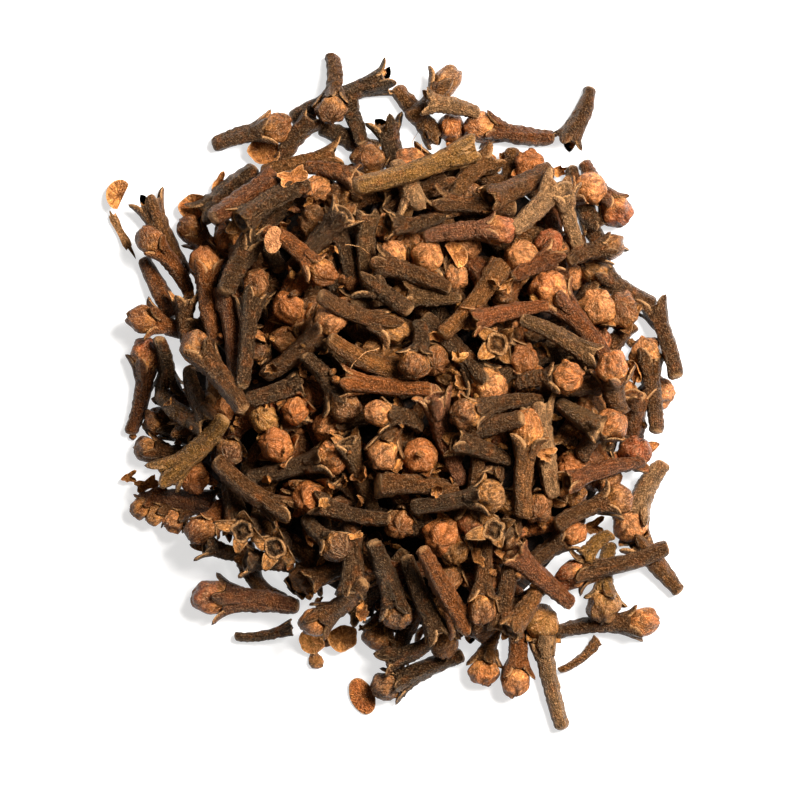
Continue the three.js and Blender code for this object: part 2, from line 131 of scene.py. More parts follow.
# %% Cloves on top
UPRIGHT_CLOVES = [
    (-16, 10, -17.5, 12, 1.2, "orange"), (-23, 14, -22.5, 16, 0.9, "brown"),
    (-12, 32, -13, 30.5, 1, "tan"), (2.5, 18, 3.5, 20, 1.1, "tan"),
    (-1.5, 23, -2.5, 24.5, 1, "tan"), (-4.5, 33.5, -5.5, 35.5, 1.25, "brown"),
    (22.5, 20, 22.5, 22.5, 0.8, "red"), (20, 18, 18, 20, 1.25, "tan"),
    (15, 26.5, 15, 24.5, 0.9, "tan"), (30.5, 10.5, 30, 12.5, 1.15, "tan"),
    (34, 10, 33.5, 12, 1.15, "brown"), (29, -14, 26, -12, 1.3, "orange"),
    (34, -12, 36, -9.5, 1.25, "red"), (36.5, -23.5, 35, -21, 1.2, "tan"),
    (21, -16.5, 21, -18.5, 1.1, "brown"), (19.5, -38.5, 21.5, -36, 1.1, "olive"),
    (-0.5, -18.5, -0.5, -21, 0.95, "brown"), (8.5, -21, 6.5, -23, 1.3, "orange"),
    (3.5, -12.5, 2.5, -10.5, 1.15, "orange"), (-16, -30, -15, -29, 1.15, "grey"),
    (-13, -15.5, -14.5, -17, 1.25, "orange"), (-19.5, -6.5, -21, -5, 1, "olive"),
    (-17.5, -10, -19.5, -9, 1.15, "orange"), (-16, -2, -16.5, -3.5, 0.9, "orange"),
    (-26, -8, -26.5, -10, 0.9, "dark"), (-20.5, 4.5, -22.5, 6, 0.8, "dark"),
    (-27.5, 21.5, -27, 23.5, 1, "orange"), (-30.5, -12.5, -32, -14, 0.9, "orange"),
    (5, 6, 5, 4, 1, "brown"), (8, -27, 7, -29.5, 1, "brown"), (30.5, -5, 29, -3, 0.9, "tan"),
]
TOP_CLOVES = [("upright", *row) for row in UPRIGHT_CLOVES] + [
    ("stem", -29, 26, -20, 32, 1.2, "red"), ("open", -15, 31.5, -24.5, 25.5, 1.15, "dark"),
    ("whole", -28.5, 7, -30.5, 19.5, 1, "orange"), ("stem", -25.5, 0, -27, 15, 1.1, "red"),
    ("open", -24.5, 0, -23.5, 13, 1, "dark"), ("whole", -24.5, -3.5, -31.5, 6, 1.25, "brown"),
    ("open", -27.5, -5, -36, -13, 1.4, "olive"), ("stem", -23.5, -2, -16, 0.5, 1, "dark"),
    ("whole", -21, 2, -11, 10, 1.1, "brown/tan"), ("open", 8, 30, 13, 35, 1.15, "tan"),
    ("open", -1, 34.5, 1.5, 28, 1.3, "ash"), ("stem", -8, 17, -11, 25.5, 1, "dark"),
    ("stem", -5, 15, -5.5, 26, 1.05, "grey"), ("open", 17, 27.5, 6.5, 28, 1, "brown"),
    ("whole", 3.5, 23, 15, 24, 0.95, "plum/red"), ("open", 17, 24, 23, 30.5, 1.2, "ash"),
    ("stem", 22.5, 33.5, 13.5, 29, 1.25, "brown"), ("open", 27.5, 20, 24.5, 29.5, 1, "ash"),
    ("open", 8.5, 13.5, 1, 14, 1, "grey"), ("whole", -12.5, 13.5, -1.5, 9, 1, "brown/olive"),
    ("stem", -11, 7, -2, 2.5, 1, "tan"), ("whole", -15, 4.5, -9, -3, 1, "dark"),
    ("open", 4, -0.5, -8.5, 0.5, 1, "orange"), ("whole", 3.5, 10.5, 13, 0, 1.2, "dark/tan"),
    ("stem", 6, 8, 15, 18.5, 1.05, "tan"), ("star", 20.5, 10.5, 14.5, 6.5, 1, "tan"),
    ("whole", 31.5, 4, 22.5, 15, 1.25, "red/orange"), ("stem", 21.5, 0, 31, 1, 1, "brown"),
    ("whole", 33.5, -3.5, 32, 3, 1.2, "brown/orange"),
    ("whole", 27.5, -10.5, 32, -5.5, 0.95, "brown/orange"),
    ("stem", 24, -2.5, 30, -6.5, 1.1, "grey"), ("open", 23, -16.5, 20.5, -3, 1.25, "ash"),
    ("whole", 18.5, -19.5, 19, -6.5, 1.2, "tan/orange"), ("stem", 18, -5, 9, -7.5, 1.1, "brown"),
    ("whole", -1, -2, -3, -10.5, 1.05, "brown/tan"), ("open", 9, -14.5, 5, -2, 1.1, "plum"),
    ("stem", 8, -16, -3.5, -15, 1.15, "brown"), ("stem", -6.5, -18, -10, -14, 1, "brown"),
    ("whole", -23.5, -14, -10.5, -10.5, 1.1, "dark/orange"),
    ("star", -19.5, -17, -24.5, -22, 1, "dark"), ("star", -16, -19.5, -19.5, -24.5, 1, "dark"),
    ("stem", -8, -21, -8, -31.5, 1.25, "dark"), ("whole", -6, -30, -13.5, -36, 1.05, "brown"),
    ("whole", -4.5, -24, -0.5, -34.5, 1.15, "dark/grey"), ("open", 3, -25, 9, -36, 1.1, "orange"),
    ("stem", 17, -25.5, 15, -36.5, 1.1, "brown"), ("stem", 20.5, -31.5, 16.5, -37, 1.05, "tan"),
    ("star", 22, -26, 14, -22, 1, "grey"), ("stem", -7, 30.5, 10, 36.5, 1.35, "olive"),
]
print(len(TOP_CLOVES), "cloves on top")

# %% [markdown]
# ## Chance that repeats
#
# The fillers are drawn by chance, but the heap has to come out the same each time. Two lines of
# arithmetic make a number generator whose draws never change, whatever else the script does.

# %% A seeded draw
seed = 20261


def draw():
    global seed
    seed = seed * 16807 % 2147483647
    return seed / 2147483647


def between(lowest, highest):
    return lowest + (highest - lowest) * draw()


# %% [markdown]
# ## The mound and its bed
#
# The mound says how high the cloves may lie at each place. The bed is a square grid of heights
# that starts as a low mound and rises to the top of each clove as it is laid. A copy of it stays
# bare, and a second grid remembers where the listed cloves lie on top, so that the
# fillers don't hide them.

# %% The mound
CELL, SPAN = 0.5, 60.0
CELLS = round(2 * SPAN / CELL)
middles = -SPAN + (np.arange(CELLS) + 0.5) * CELL


def heap_radius(bearing):
    return HEAP_RADIUS + sum(h * math.cos(n * (bearing - start)) for n, h, start in OUTLINE_WAVES)


def reach_share(x, y):
    return math.hypot(x, y) / heap_radius(math.atan2(y, x))


def mound(share):
    return (1 - share**2.2) ** 0.9 if share < 1 else 0.0


def ceiling(x, y, level):
    share = reach_share(x, y)
    return EDGE + (CROWN - EDGE) * level * mound(share) if share < 1 else 0.0


bed = np.array([
    [BED_HEIGHT * mound(reach_share(x, y) / BED_REACH) for y in middles] for x in middles
])
bare_bed, taken = bed.copy(), np.zeros((CELLS, CELLS))
print("the bed starts", round(float(bed.max()), 1), "mm high in the middle")


def cell_of(place):
    return math.floor((place + SPAN) / CELL)


# %% [markdown]
# ## Laying one clove
#
# A clove is let down level over its line in plan. Whatever it can touch pushes it up: it rests on
# two supports, one on each side of its middle, and the pair that holds it highest wins. Where
# that would be steeper than cloves lie, the slope is held back.

# %% One clove as a record
def new_clove(kind, tail, head, girth, bow, colour):
    run = math.dist(tail, head)
    ahead = ((head[0] - tail[0]) / run, (head[1] - tail[1]) / run)
    return dict(
        kind=kind, tail=tail, head=head, run=run, ahead=ahead, girth=girth, bow=bow,
        colour=colour, slope=0.0, rise=0.0, hidden=0.0,
    )


def has_bud(c):
    return c["kind"] in ("whole", "upright")


def bud_radius(c):
    return BUD_RADIUS * (0.5 + 0.5 * c["girth"])


def stem_end(c, length):
    return length - BUD_SEAT * bud_radius(c) if has_bud(c) else length


def stem_radius(share):
    straight = TAIL_RADIUS + (WAIST_RADIUS - TAIL_RADIUS) * share
    return straight + (CALYX_RADIUS - WAIST_RADIUS) * max(0.0, 4 * share - 3) ** 1.5


def radius_at(c, along):
    from_bud = abs(along - c["run"])
    ball = bud_radius(c)
    bulge = math.sqrt(ball**2 - from_bud**2) if has_bud(c) and from_bud < ball else 0.0
    end = stem_end(c, c["run"])
    if c["kind"] == "upright" or not 0 <= along <= end:
        return bulge
    return max(bulge, c["girth"] * stem_radius(along / end))


def bow_at(c, along):
    share = min(1.0, max(0.0, along / c["run"]))
    return 4 * c["bow"] * share * (1 - share)


# %% Letting it down on the bed
def settle(c):
    end = c["run"] + 0.7 * BUD_RADIUS if has_bud(c) else c["run"] - 0.3
    steps = math.ceil(end / PROBE_STEP)
    (tx, ty), (ux, uy) = c["tail"], c["ahead"]
    supports = []
    c["hidden"] = 0.0
    for k in range(steps + 1):
        along = FIRST_PROBE + (end - FIRST_PROBE) * k / steps
        radius = radius_at(c, along)
        height = 0.0
        for side in PROBES_ACROSS:
            across = bow_at(c, along) + side * radius
            i = cell_of(tx + ux * along + uy * across)
            j = cell_of(ty + uy * along - ux * across)
            height = max(height, bed[i, j] + radius * math.sqrt(1 - side**2))
            c["hidden"] += taken[i, j] / (len(PROBES_ACROSS) * (steps + 1))
        supports.append((along, height))
    middle = BALANCE * c["run"]
    highest = 0.0
    for a, height_a in supports:
        for b, height_b in supports:
            if a <= middle < b:
                slope = (height_b - height_a) / (b - a)
                height = height_a + slope * (middle - a)
                if height > highest:
                    highest = height
                    c["slope"] = slope
    c["slope"] = min(STEEPEST, max(-STEEPEST, c["slope"]))
    c["rise"] = highest - BITE - c["slope"] * middle


def stand(c):
    x, y = c["head"]
    ball = bud_radius(c)
    top = max(ceiling(x, y, 1) + 0.3, bed[cell_of(x), cell_of(y)] + 0.5 * ball)
    c["slope"] = STANDING
    c["rise"] = max(ball, top - ball) - BITE - c["slope"] * c["run"]


# %% [markdown]
# Once a clove lies, the bed under it rises to its top, so the next one rests on it.

# %% Raising the bed
def axis_height(c, along):
    return c["rise"] + c["slope"] * min(along, c["run"])


def top_at(c, x, y):
    (tx, ty), (ux, uy) = c["tail"], c["ahead"]
    along = (x - tx) * ux + (y - ty) * uy
    across = (x - tx) * uy - (y - ty) * ux - bow_at(c, along)
    radius = radius_at(c, along)
    if abs(across) >= radius:
        return 0.0
    return axis_height(c, along) + math.sqrt(radius**2 - across**2)


def cells_along(one, other):
    margin = 2 * BUD_RADIUS
    return range(cell_of(min(one, other) - margin), cell_of(max(one, other) + margin) + 1)


def raise_bed(c, by_hand):
    (tx, ty), (hx, hy) = c["tail"], c["head"]
    for i in cells_along(tx, hx):
        for j in cells_along(ty, hy):
            height = top_at(c, middles[i], middles[j])
            if height > bed[i, j]:
                bed[i, j] = height
                if by_hand:
                    taken[i, j] = 1


# %% [markdown]
# ## Building the heap
#
# The rim is laid first, then a buried layer, then the cloves on top, and at last the ones that
# fill in between. A filler is tried at many places and takes the one with the most room under
# the mound, a share of it for the buried layer and a little above it for the last ones. A place
# where it would lie over too much of the listed cloves doesn't count.

# %% Laying the listed cloves and filling in
heap = []


def lay_by_hand(rows):
    for kind, tail_x, tail_y, head_x, head_y, girth, colour in rows:
        bow = between(-0.7, 0.7)
        c = new_clove(kind, (tail_x, tail_y), (head_x, head_y), girth, bow, colour)
        if kind == "upright":
            stand(c)
        else:
            settle(c)
        raise_bed(c, True)
        heap.append(c)


def drawn_clove(shortest):
    bearing = between(-math.pi, math.pi)
    out = 0.98 * math.sqrt(draw()) * heap_radius(bearing)
    heading = between(-math.pi, math.pi)
    half = between(shortest, shortest + 1.2)
    x, y = out * math.cos(bearing), out * math.sin(bearing)
    dx, dy = half * math.cos(heading), half * math.sin(heading)
    kind = "whole" if draw() < 0.6 else "open"
    girth, bow = between(0.85, 1.2), between(-0.8, 0.8)
    return new_clove(kind, (x - dx, y - dy), (x + dx, y + dy), girth, bow, "filler")


def fill(count, level, above, tries, shortest, most_hidden):
    for _ in range(count):
        best, most_room = None, 0.0
        for _ in range(tries):
            c = drawn_clove(shortest)
            if max(reach_share(*c["tail"]), reach_share(*c["head"])) > 1:
                continue
            settle(c)
            if c["hidden"] > most_hidden:
                continue
            x, y = (0.5 * (a + b) for a, b in zip(c["tail"], c["head"]))
            room = ceiling(x, y, level) + above - axis_height(c, 0.5 * c["run"]) - WAIST_RADIUS
            if room > most_room:
                most_room, best = room, c
        if best:
            raise_bed(best, False)
            heap.append(best)


# %% The whole heap
lay_by_hand(EDGE_CLOVES)
fill(130, level=0.75, above=0.0, tries=16, shortest=5.0, most_hidden=0.3)
lay_by_hand(TOP_CLOVES)
fill(90, level=1.0, above=1.5, tries=60, shortest=5.0, most_hidden=0.3)
fill(90, level=1.0, above=1.5, tries=60, shortest=3.2, most_hidden=0.4)
highest = max(axis_height(c, c["run"]) for c in heap)
print(len(heap), "cloves, the highest axis at", round(highest, 1), "mm")

# %% [markdown]
# ## One clove in the round
#
# Every part of a clove is a closed skin over rings of points: the stem, each lobe and the bud. A
# small collector takes such skins and notes, for each point, how far along the stem it is, whether
# it is on the bud, how far it is out to a pale edge, where a mark below nothing stands for painted
# shade, and where it is in the clove. The finish reads those notes later.

# %% Skins over rings
class Model:
    def __init__(self):
        self.points, self.faces = [], []
        self.notes = {"along": [], "bud": [], "edge": []}

    def add(self, rings, low_tip, high_tip, bud=lambda ring, side: 0.0, edge=None):
        sides, first = len(rings[0]), len(self.points)
        self.points += [low_tip] + [p for ring in rings for p in ring] + [high_tip]
        tip = len(self.points) - 1
        last = tip - sides
        for j in range(sides):
            k = (j + 1) % sides
            self.faces.append((first, first + 1 + k, first + 1 + j))
            self.faces.append((last + j, last + k, tip))
            for r in range(len(rings) - 1):
                a = first + 1 + r * sides
                self.faces.append((a + j, a + k, a + sides + k, a + sides + j))
        for name, mark in (("bud", bud), ("edge", edge or (lambda ring, side: 0.0))):
            marks = [mark(r, j) for r in range(len(rings)) for j in range(sides)]
            self.notes[name] += [mark(0, 0), *marks, mark(len(rings) - 1, 0)]

    def mesh(self, name):
        mesh = bpy.data.meshes.new(name)
        mesh.from_pydata([tuple(p) for p in self.points], [], self.faces)
        spots = np.array(self.points)
        self.notes["along"] = np.clip(spots[:, 2] / STEM_LENGTH, 0, 1)
        for note, values in self.notes.items():
            layer = mesh.attributes.new(note, "FLOAT", "POINT")
            layer.data.foreach_set("value", np.array(values, np.float32))
        layer = mesh.attributes.new("clove_co", "FLOAT_VECTOR", "POINT")
        layer.data.foreach_set("vector", spots.astype(np.float32).ravel())
        return mesh


# %% [markdown]
# The stem is not round. It dried with soft lumps and shallow folds, and it squares up towards the
# lobes. A few waves with random phases give each stem lumps of its own, and they close on
# themselves round the stem because they go round a whole number of times. The tail is rounded off
# by three small rings. The marks along the stem say how worn and pale each ring is, and a mark
# below nothing paints the pit of an open calyx dark as painted shade.

# %% The stem
TURN = 2 * math.pi
STEM_SIDES, STEM_RINGS = 18, 28
TAIL_RINGS, TAIL_MARKS = ((0.42, -0.4), (0.75, -0.25), (0.96, 0.02)), [0.55, 0.4, 0.15]
# The marks below nothing are painted shade in the pit of an open calyx.
TOP_MARKS = [0.1, 0.6, 0.5, -0.4, -0.5, 0.3]


def round_angles(sides):
    return [TURN * j / sides for j in range(sides)]


def waves(luck, count, tallest, quickest=4.0):
    return [
        (
            luck.randint(1, 6), luck.uniform(-quickest, quickest), luck.uniform(0, TURN),
            luck.uniform(0.3, 1) * tallest,
        )
        for _ in range(count)
    ]


def height_of(bumps, angle, share):
    return sum(h * math.cos(n * angle + TURN * m * share + start) for n, m, start, h in bumps)


def ring_at(radius, height, bumps, squareness=0.0):
    ring = []
    for angle in round_angles(STEM_SIDES):
        lumps = height_of(bumps, angle, height / STEM_LENGTH)
        r = radius * (1 + lumps + squareness * math.cos(4 * angle))
        ring.append((r * math.cos(angle), r * math.sin(angle), height))
    return ring


def add_stem(model, luck, top, snapped=False):
    bumps = waves(luck, 6, 0.055, 0.8) + waves(luck, 8, 0.03, 11.0)
    tail, neck = luck.uniform(0.7, 1.05), luck.uniform(0.84, 1.0)
    rings = [ring_at(TAIL_RADIUS * tail * r, h, bumps) for r, h in TAIL_RINGS]
    for k in range(1, STEM_RINGS + 1):
        share = k / STEM_RINGS
        radius = stem_radius(share) * (tail + (neck - tail) * min(1, 2.2 * share))
        radius = WAIST_RADIUS * 1.1 if snapped and share > 0.8 else radius
        rings.append(ring_at(radius, share * STEM_LENGTH, bumps, 0.08 * share**3))
    body = len(rings)
    for r, h in top:
        rings.append(ring_at(r * CALYX_RADIUS, STEM_LENGTH + h, bumps, 0.05))
    centre = (0, 0, STEM_LENGTH + top[-1][1] + 0.2)
    marks = TAIL_MARKS + [0.0] * (body - len(TAIL_MARKS)) + TOP_MARKS[: len(top)]
    model.add(rings, (0, 0, -0.45), centre, edge=lambda ring, side: marks[ring])


# %% [markdown]
# A lobe is a thick leaf. It grows out of the stem's end and bends outwards. Its inner side is
# hollow and golden brown, and a thin pale rim runs round it.

# %% A lobe
LOBE_SIDES, LOBE_RINGS = 8, 10
LOBE_ROOT, ROOT_ANGLE, STRAIGHT_SHARE = 1.9, 0.45, 0.3


def leaf_width(share):
    pointed = 1 - (max(0.0, share - 0.45) / 0.56) ** 1.7
    return (0.7 + 0.3 * min(1.0, share / 0.5)) * pointed**0.8


def add_lobe(model, luck, bearing, length, width, curl):
    radial = np.array([math.cos(bearing), math.sin(bearing), 0.0])
    up = np.array([0.0, 0.0, 1.0])
    spot = 0.42 * CALYX_RADIUS * radial + (STEM_LENGTH - LOBE_ROOT) * up
    sway = luck.uniform(-0.3, 0.3) * np.cross(up, radial)
    cup = luck.uniform(0.3, 0.7)
    rings = []
    step = (length + LOBE_ROOT) / LOBE_RINGS
    for k in range(LOBE_RINGS):
        share = k / LOBE_RINGS
        angle = ROOT_ANGLE + (curl - ROOT_ANGLE) * max(0.0, share - STRAIGHT_SHARE) / 0.7
        heading = math.sin(angle) * radial + math.cos(angle) * up + share * sway
        heading /= np.linalg.norm(heading)
        outer = math.cos(angle) * radial - math.sin(angle) * up
        sideways = np.cross(heading, outer)
        half = 0.5 * width * leaf_width(share)
        thick = 0.75 - 0.45 * share
        ring = []
        for turn in round_angles(LOBE_SIDES):
            lift = math.cos(turn) * (thick if math.cos(turn) > 0 else 0.2 * thick)
            fold = cup * half * math.sin(turn) ** 2 * share
            ring.append(spot + (lift - fold) * outer + half * math.sin(turn) * sideways)
        rings.append(ring)
        spot = spot + step * heading

    def rim(ring, side):
        return (0.8 if side in (2, 6) else 0.1) if ring > 3 else 0.0

    def hollow(ring, side):
        return 0.8 if side in (3, 4, 5) and ring > 2 else 0.0

    middle = 0.5 * (rings[0][0] + rings[0][LOBE_SIDES // 2])
    model.add(rings, tuple(middle), tuple(spot), bud=hollow, edge=rim)


def add_lobes(model, luck, curl, length, width=2.1):
    start = luck.uniform(-0.15, 0.15)
    for k in range(4):
        bearing = start + 0.25 * TURN * (k + luck.uniform(-0.08, 0.08))
        own_length, own_width = length * luck.uniform(0.75, 1.15), width * luck.uniform(0.85, 1.15)
        add_lobe(model, luck, bearing, own_length, own_width, curl + luck.uniform(-0.4, 0.4))


# %% [markdown]
# The bud is a few petals wrapped round each other. Each petal's free edge lies on the next one,
# so going round the bud the surface climbs slowly and drops once for each petal, along lines that
# twist towards the top. The same waves as on the stem wrinkle it.

# %% The bud
BUD_SIDES, BUD_RINGS = 32, 14
BUD_MIDDLE = STEM_LENGTH + BUD_SEAT * BUD_RADIUS
PETAL_EDGE = 0.86


def add_bud(model, luck, radius, squash, wrapped, petals):
    bumps = waves(luck, 8, 0.045, 3.0)
    aside = luck.uniform(-0.5, 0.5), luck.uniform(-0.5, 0.5)
    twist = luck.choice((-1, 1)) * luck.uniform(0.6, 1.4)
    begin = luck.uniform(0, 1)
    rings, marks = [], []
    for k in range(1, BUD_RINGS + 1):
        polar, share = math.pi * k / (BUD_RINGS + 1), k / BUD_RINGS
        ring = []
        for j, angle in enumerate(round_angles(BUD_SIDES)):
            petal = (petals * j / BUD_SIDES + begin + twist * k / BUD_RINGS) % 1
            climb = petal / PETAL_EDGE if petal < PETAL_EDGE else (1 - petal) / 0.14
            lumps = height_of(bumps, angle, share)
            r = radius * (1 + lumps + wrapped * math.sin(polar) * (climb - 0.5))
            ring.append((
                r * math.sin(polar) * math.cos(angle) + aside[0] * k / BUD_RINGS,
                r * math.sin(polar) * math.sin(angle) + aside[1] * k / BUD_RINGS,
                BUD_MIDDLE - squash * r * math.cos(polar),
            ))
            # The seam under a petal's free edge gets a mark below nothing: painted shade.
            marks.append(0.8 * max(0.0, petal - 0.45) if petal < 0.84 else -0.38)
        rings.append(ring)
    model.add(
        rings, (0, 0, BUD_MIDDLE - squash * radius), (*aside, BUD_MIDDLE + squash * radius),
        bud=lambda ring, side: 1.0, edge=lambda ring, side: marks[ring * BUD_SIDES + side],
    )


# %% [markdown]
# Handling breaks cloves, so a heap is full of bits: petals that came off a bud as thin dished
# husks, chips, fibres and crumbs. A husk is a closed shell, drawn as rings that go out along its
# lower side and come back along its upper side. A broken one is cut off straight on one side.

# %% Husks and crumbs
HUSK_SIDES, CRUMB_SIDES, CRUMB_RINGS, FIBRE_SIDES, FIBRE_RINGS = 22, 9, 5, 5, 12


def add_husk(
    model, luck, length, width, dish, torn=0.18, thickness=0.22, petal=1.0, broken=1.0
):
    bumps = waves(luck, 5, torn)
    rings = []
    for side, shares in ((-1, (0.3, 0.62, 0.88, 1.0)), (1, (0.97, 0.8, 0.5, 0.22))):
        for share in shares:
            ring = []
            for angle in round_angles(HUSK_SIDES):
                out = share * (1 + height_of(bumps, angle, 0.0))
                across = min(broken * share, out * math.sin(angle))
                lift = dish * share**2 + 0.3 * dish * share * math.cos(2 * angle)
                lift += side * 0.5 * thickness * (1.15 - share)
                ring.append((length * out * math.cos(angle), width * across, lift))
            rings.append(ring)
    model.add(
        rings, (0, 0, -0.6 * thickness), (0, 0, 0.6 * thickness),
        bud=lambda ring, side: petal, edge=lambda ring, side: 0.5 if ring in (3, 4) else 0.0,
    )


def add_crumb(model, luck, radius):
    bumps = waves(luck, 6, 0.12)
    rings = []
    for k in range(1, CRUMB_RINGS + 1):
        share = k / (CRUMB_RINGS + 1)
        polar = math.pi * k / (CRUMB_RINGS + 1)
        ring = []
        for angle in round_angles(CRUMB_SIDES):
            r = radius * (1 + height_of(bumps, angle, share))
            x, y = (r * math.sin(polar) * way(angle) for way in (math.cos, math.sin))
            ring.append((x, y, -0.7 * r * math.cos(polar)))
        rings.append(ring)
    model.add(rings, (0, 0, -0.7 * radius), (0, 0, 0.7 * radius), bud=lambda ring, side: 0.6)


def add_fibre(model, luck, length, thickness=0.11):
    bend = luck.uniform(0.5, 1.1)
    rings = []
    for k in range(FIBRE_RINGS + 1):
        share = k / FIBRE_RINGS
        sag = bend * math.sin(0.5 * TURN * share) + 0.08 * math.sin(2 * TURN * share)
        rings.append([
            (
                length * (share - 0.5), sag + 0.5 * thickness * math.cos(angle),
                0.5 * thickness * math.sin(angle),
            )
            for angle in round_angles(FIBRE_SIDES)
        ])
    end = 0.5 * length + 0.05
    model.add(
        rings, (-end, 0, 0), (end, 0, 0),
        bud=lambda ring, side: 1.0, edge=lambda ring, side: 0.8,
    )


# %% [markdown]
# Twenty-one models of a clove cover what a heap shows: cloves with their bud, open ones that lost
# it, so the calyx has a rim and a pit, stars whose lobes spread wide, and stems whose lobes are
# folded shut or snapped off. Each has lobes at angles of its own. Seventeen small models do for
# the bits. A row gives their count, the seed of the first one and a recipe, which gets a model to
# add to, its own luck and its number.

# %% The models
CLOSED_TOP = ((0.9, 0.3), (0.5, 0.4))
OPEN_TOP = ((0.95, 0.15), (0.82, 0.38), (0.66, 0.4), (0.54, 0.1), (0.34, 0.05), (0.2, 0.3))


def whole_clove(model, luck, n):
    add_stem(model, luck, CLOSED_TOP)
    add_lobes(model, luck, luck.uniform(0.8, 1.6), luck.uniform(2.1, 2.8))
    squash = luck.uniform(0.82, 1.22)
    radius = BUD_RADIUS * luck.uniform(0.86, 1.06) / squash**0.5
    add_bud(model, luck, radius, squash, luck.uniform(0.06, 0.15), 2 + n % 3)


def open_clove(model, luck, n):
    add_stem(model, luck, OPEN_TOP)
    add_lobes(model, luck, luck.uniform(0.6, 1.2), luck.uniform(1.9, 2.7))


def star_clove(model, luck, n):
    add_stem(model, luck, OPEN_TOP)
    add_lobes(model, luck, luck.uniform(1.3, 1.6), luck.uniform(3.0, 3.4), 2.6)


def bare_stem(model, luck, n):
    add_stem(model, luck, OPEN_TOP if n < 2 else CLOSED_TOP, snapped=n == 3)
    if n < 3:
        add_lobes(model, luck, luck.uniform(-0.1, 0.5), luck.uniform(0.9, 1.6))


def husk(model, luck, n):
    length, width = luck.uniform(1.3, 1.7), luck.uniform(0.8, 1.3)
    add_husk(model, luck, length, width, luck.uniform(0.4, 1.0))


RECIPES = {
    "whole": (8, 100, whole_clove),
    "open": (6, 200, open_clove),
    "star": (3, 250, star_clove),
    "stem": (4, 300, bare_stem),
    "husk": (4, 400, husk),
    "petal": (2, 420, lambda m, r, n: add_husk(m, r, 1.9, r.uniform(1.5, 1.7), 1.1, 0.05, 0.22, 0.8)),
    "half": (1, 430, lambda m, r, n: add_husk(m, r, 2.3, 2.2, 0.9, 0.04, broken=0.3)),
    "sliver": (2, 450, lambda m, r, n: add_husk(m, r, 2.9, r.uniform(0.5, 0.7), 0.2, petal=0.2)),
    "chip": (2, 470, lambda m, r, n: add_husk(m, r, 2.3, 1.45, 0.2, 0.03, 0.6, 0.3)),
    "fibre": (3, 600, lambda m, r, n: add_fibre(m, r, r.uniform(5.0, 7.0))),
    "crumb": (3, 500, lambda m, r, n: add_crumb(m, r, r.uniform(0.8, 1.1))),
}
MODELS = {kind: [] for kind in RECIPES}
for kind, (count, first_seed, recipe) in RECIPES.items():
    for n in range(count):
        model, name = Model(), f"{kind}_{n:02d}"
        recipe(model, random.Random(first_seed + n), n)
        MODELS[kind].append(bpy.data.objects.new(name, model.mesh(name)))
print({kind: [len(m.data.polygons) for m in models] for kind, models in MODELS.items()})

# %% [markdown]
# ## Where each clove goes
#
# The rule knows a clove as a line in plan with a height and a slope. The models want a place, a
# turn, a size, and the two vectors that pull the stem to its length and bow it sideways. Each
# clove is also rolled about its own axis by chance, or every calyx would show the same corner.
# A star stands nearly upright and a little above the rule's place, so its lobes lie on top.
# Colours are given as on a screen, and the lower a clove lies, the darker its colour is painted:
# painted shade for the shade deep in the heap.

# %% Colours
def srgb(*screen):
    return tuple(((v / 255 + 0.055) / 1.055) ** 2.4 if v > 10 else v / 255 / 12.92 for v in screen)


STEM_COLOURS = {
    "dark": srgb(47, 27, 11), "brown": srgb(68, 38, 14), "red": srgb(87, 43, 17),
    "tan": srgb(97, 58, 24), "olive": srgb(113, 76, 32), "grey": srgb(71, 46, 23),
    "orange": srgb(104, 54, 19), "plum": srgb(98, 56, 34), "ash": srgb(128, 92, 58),
    "pale": srgb(196, 130, 84), "rust": srgb(150, 78, 32),
}
BUD_COLOURS = {
    "dark": srgb(76, 41, 20), "brown": srgb(100, 55, 24), "red": srgb(126, 61, 31),
    "tan": srgb(168, 104, 58), "olive": srgb(126, 80, 38), "grey": srgb(94, 56, 30),
    "orange": srgb(149, 84, 40),
}
GOLD, RUST = srgb(180, 117, 57), srgb(104, 55, 21)
PALE_SPECK_AND_GLINT, PALE = srgb(226, 180, 132), srgb(208, 154, 100)
FILLER_COLOURS = ["dark", "dark", "brown", "brown", "brown", "red", "tan", "grey", "orange"]
BIT_COLOURS = ["orange", "tan", "olive", "brown", "red"]
STAR_SLOPE, STAR_LIFT, STAR_COLOUR = 3.0, 2.0, "olive"
SHORTEST_STEM, FLOOR_ROOM = 2.0, 1.8
print(len(STEM_COLOURS), "stem colours and", len(BUD_COLOURS), "bud colours")

# %% From the rule to places
luck = random.Random(7)


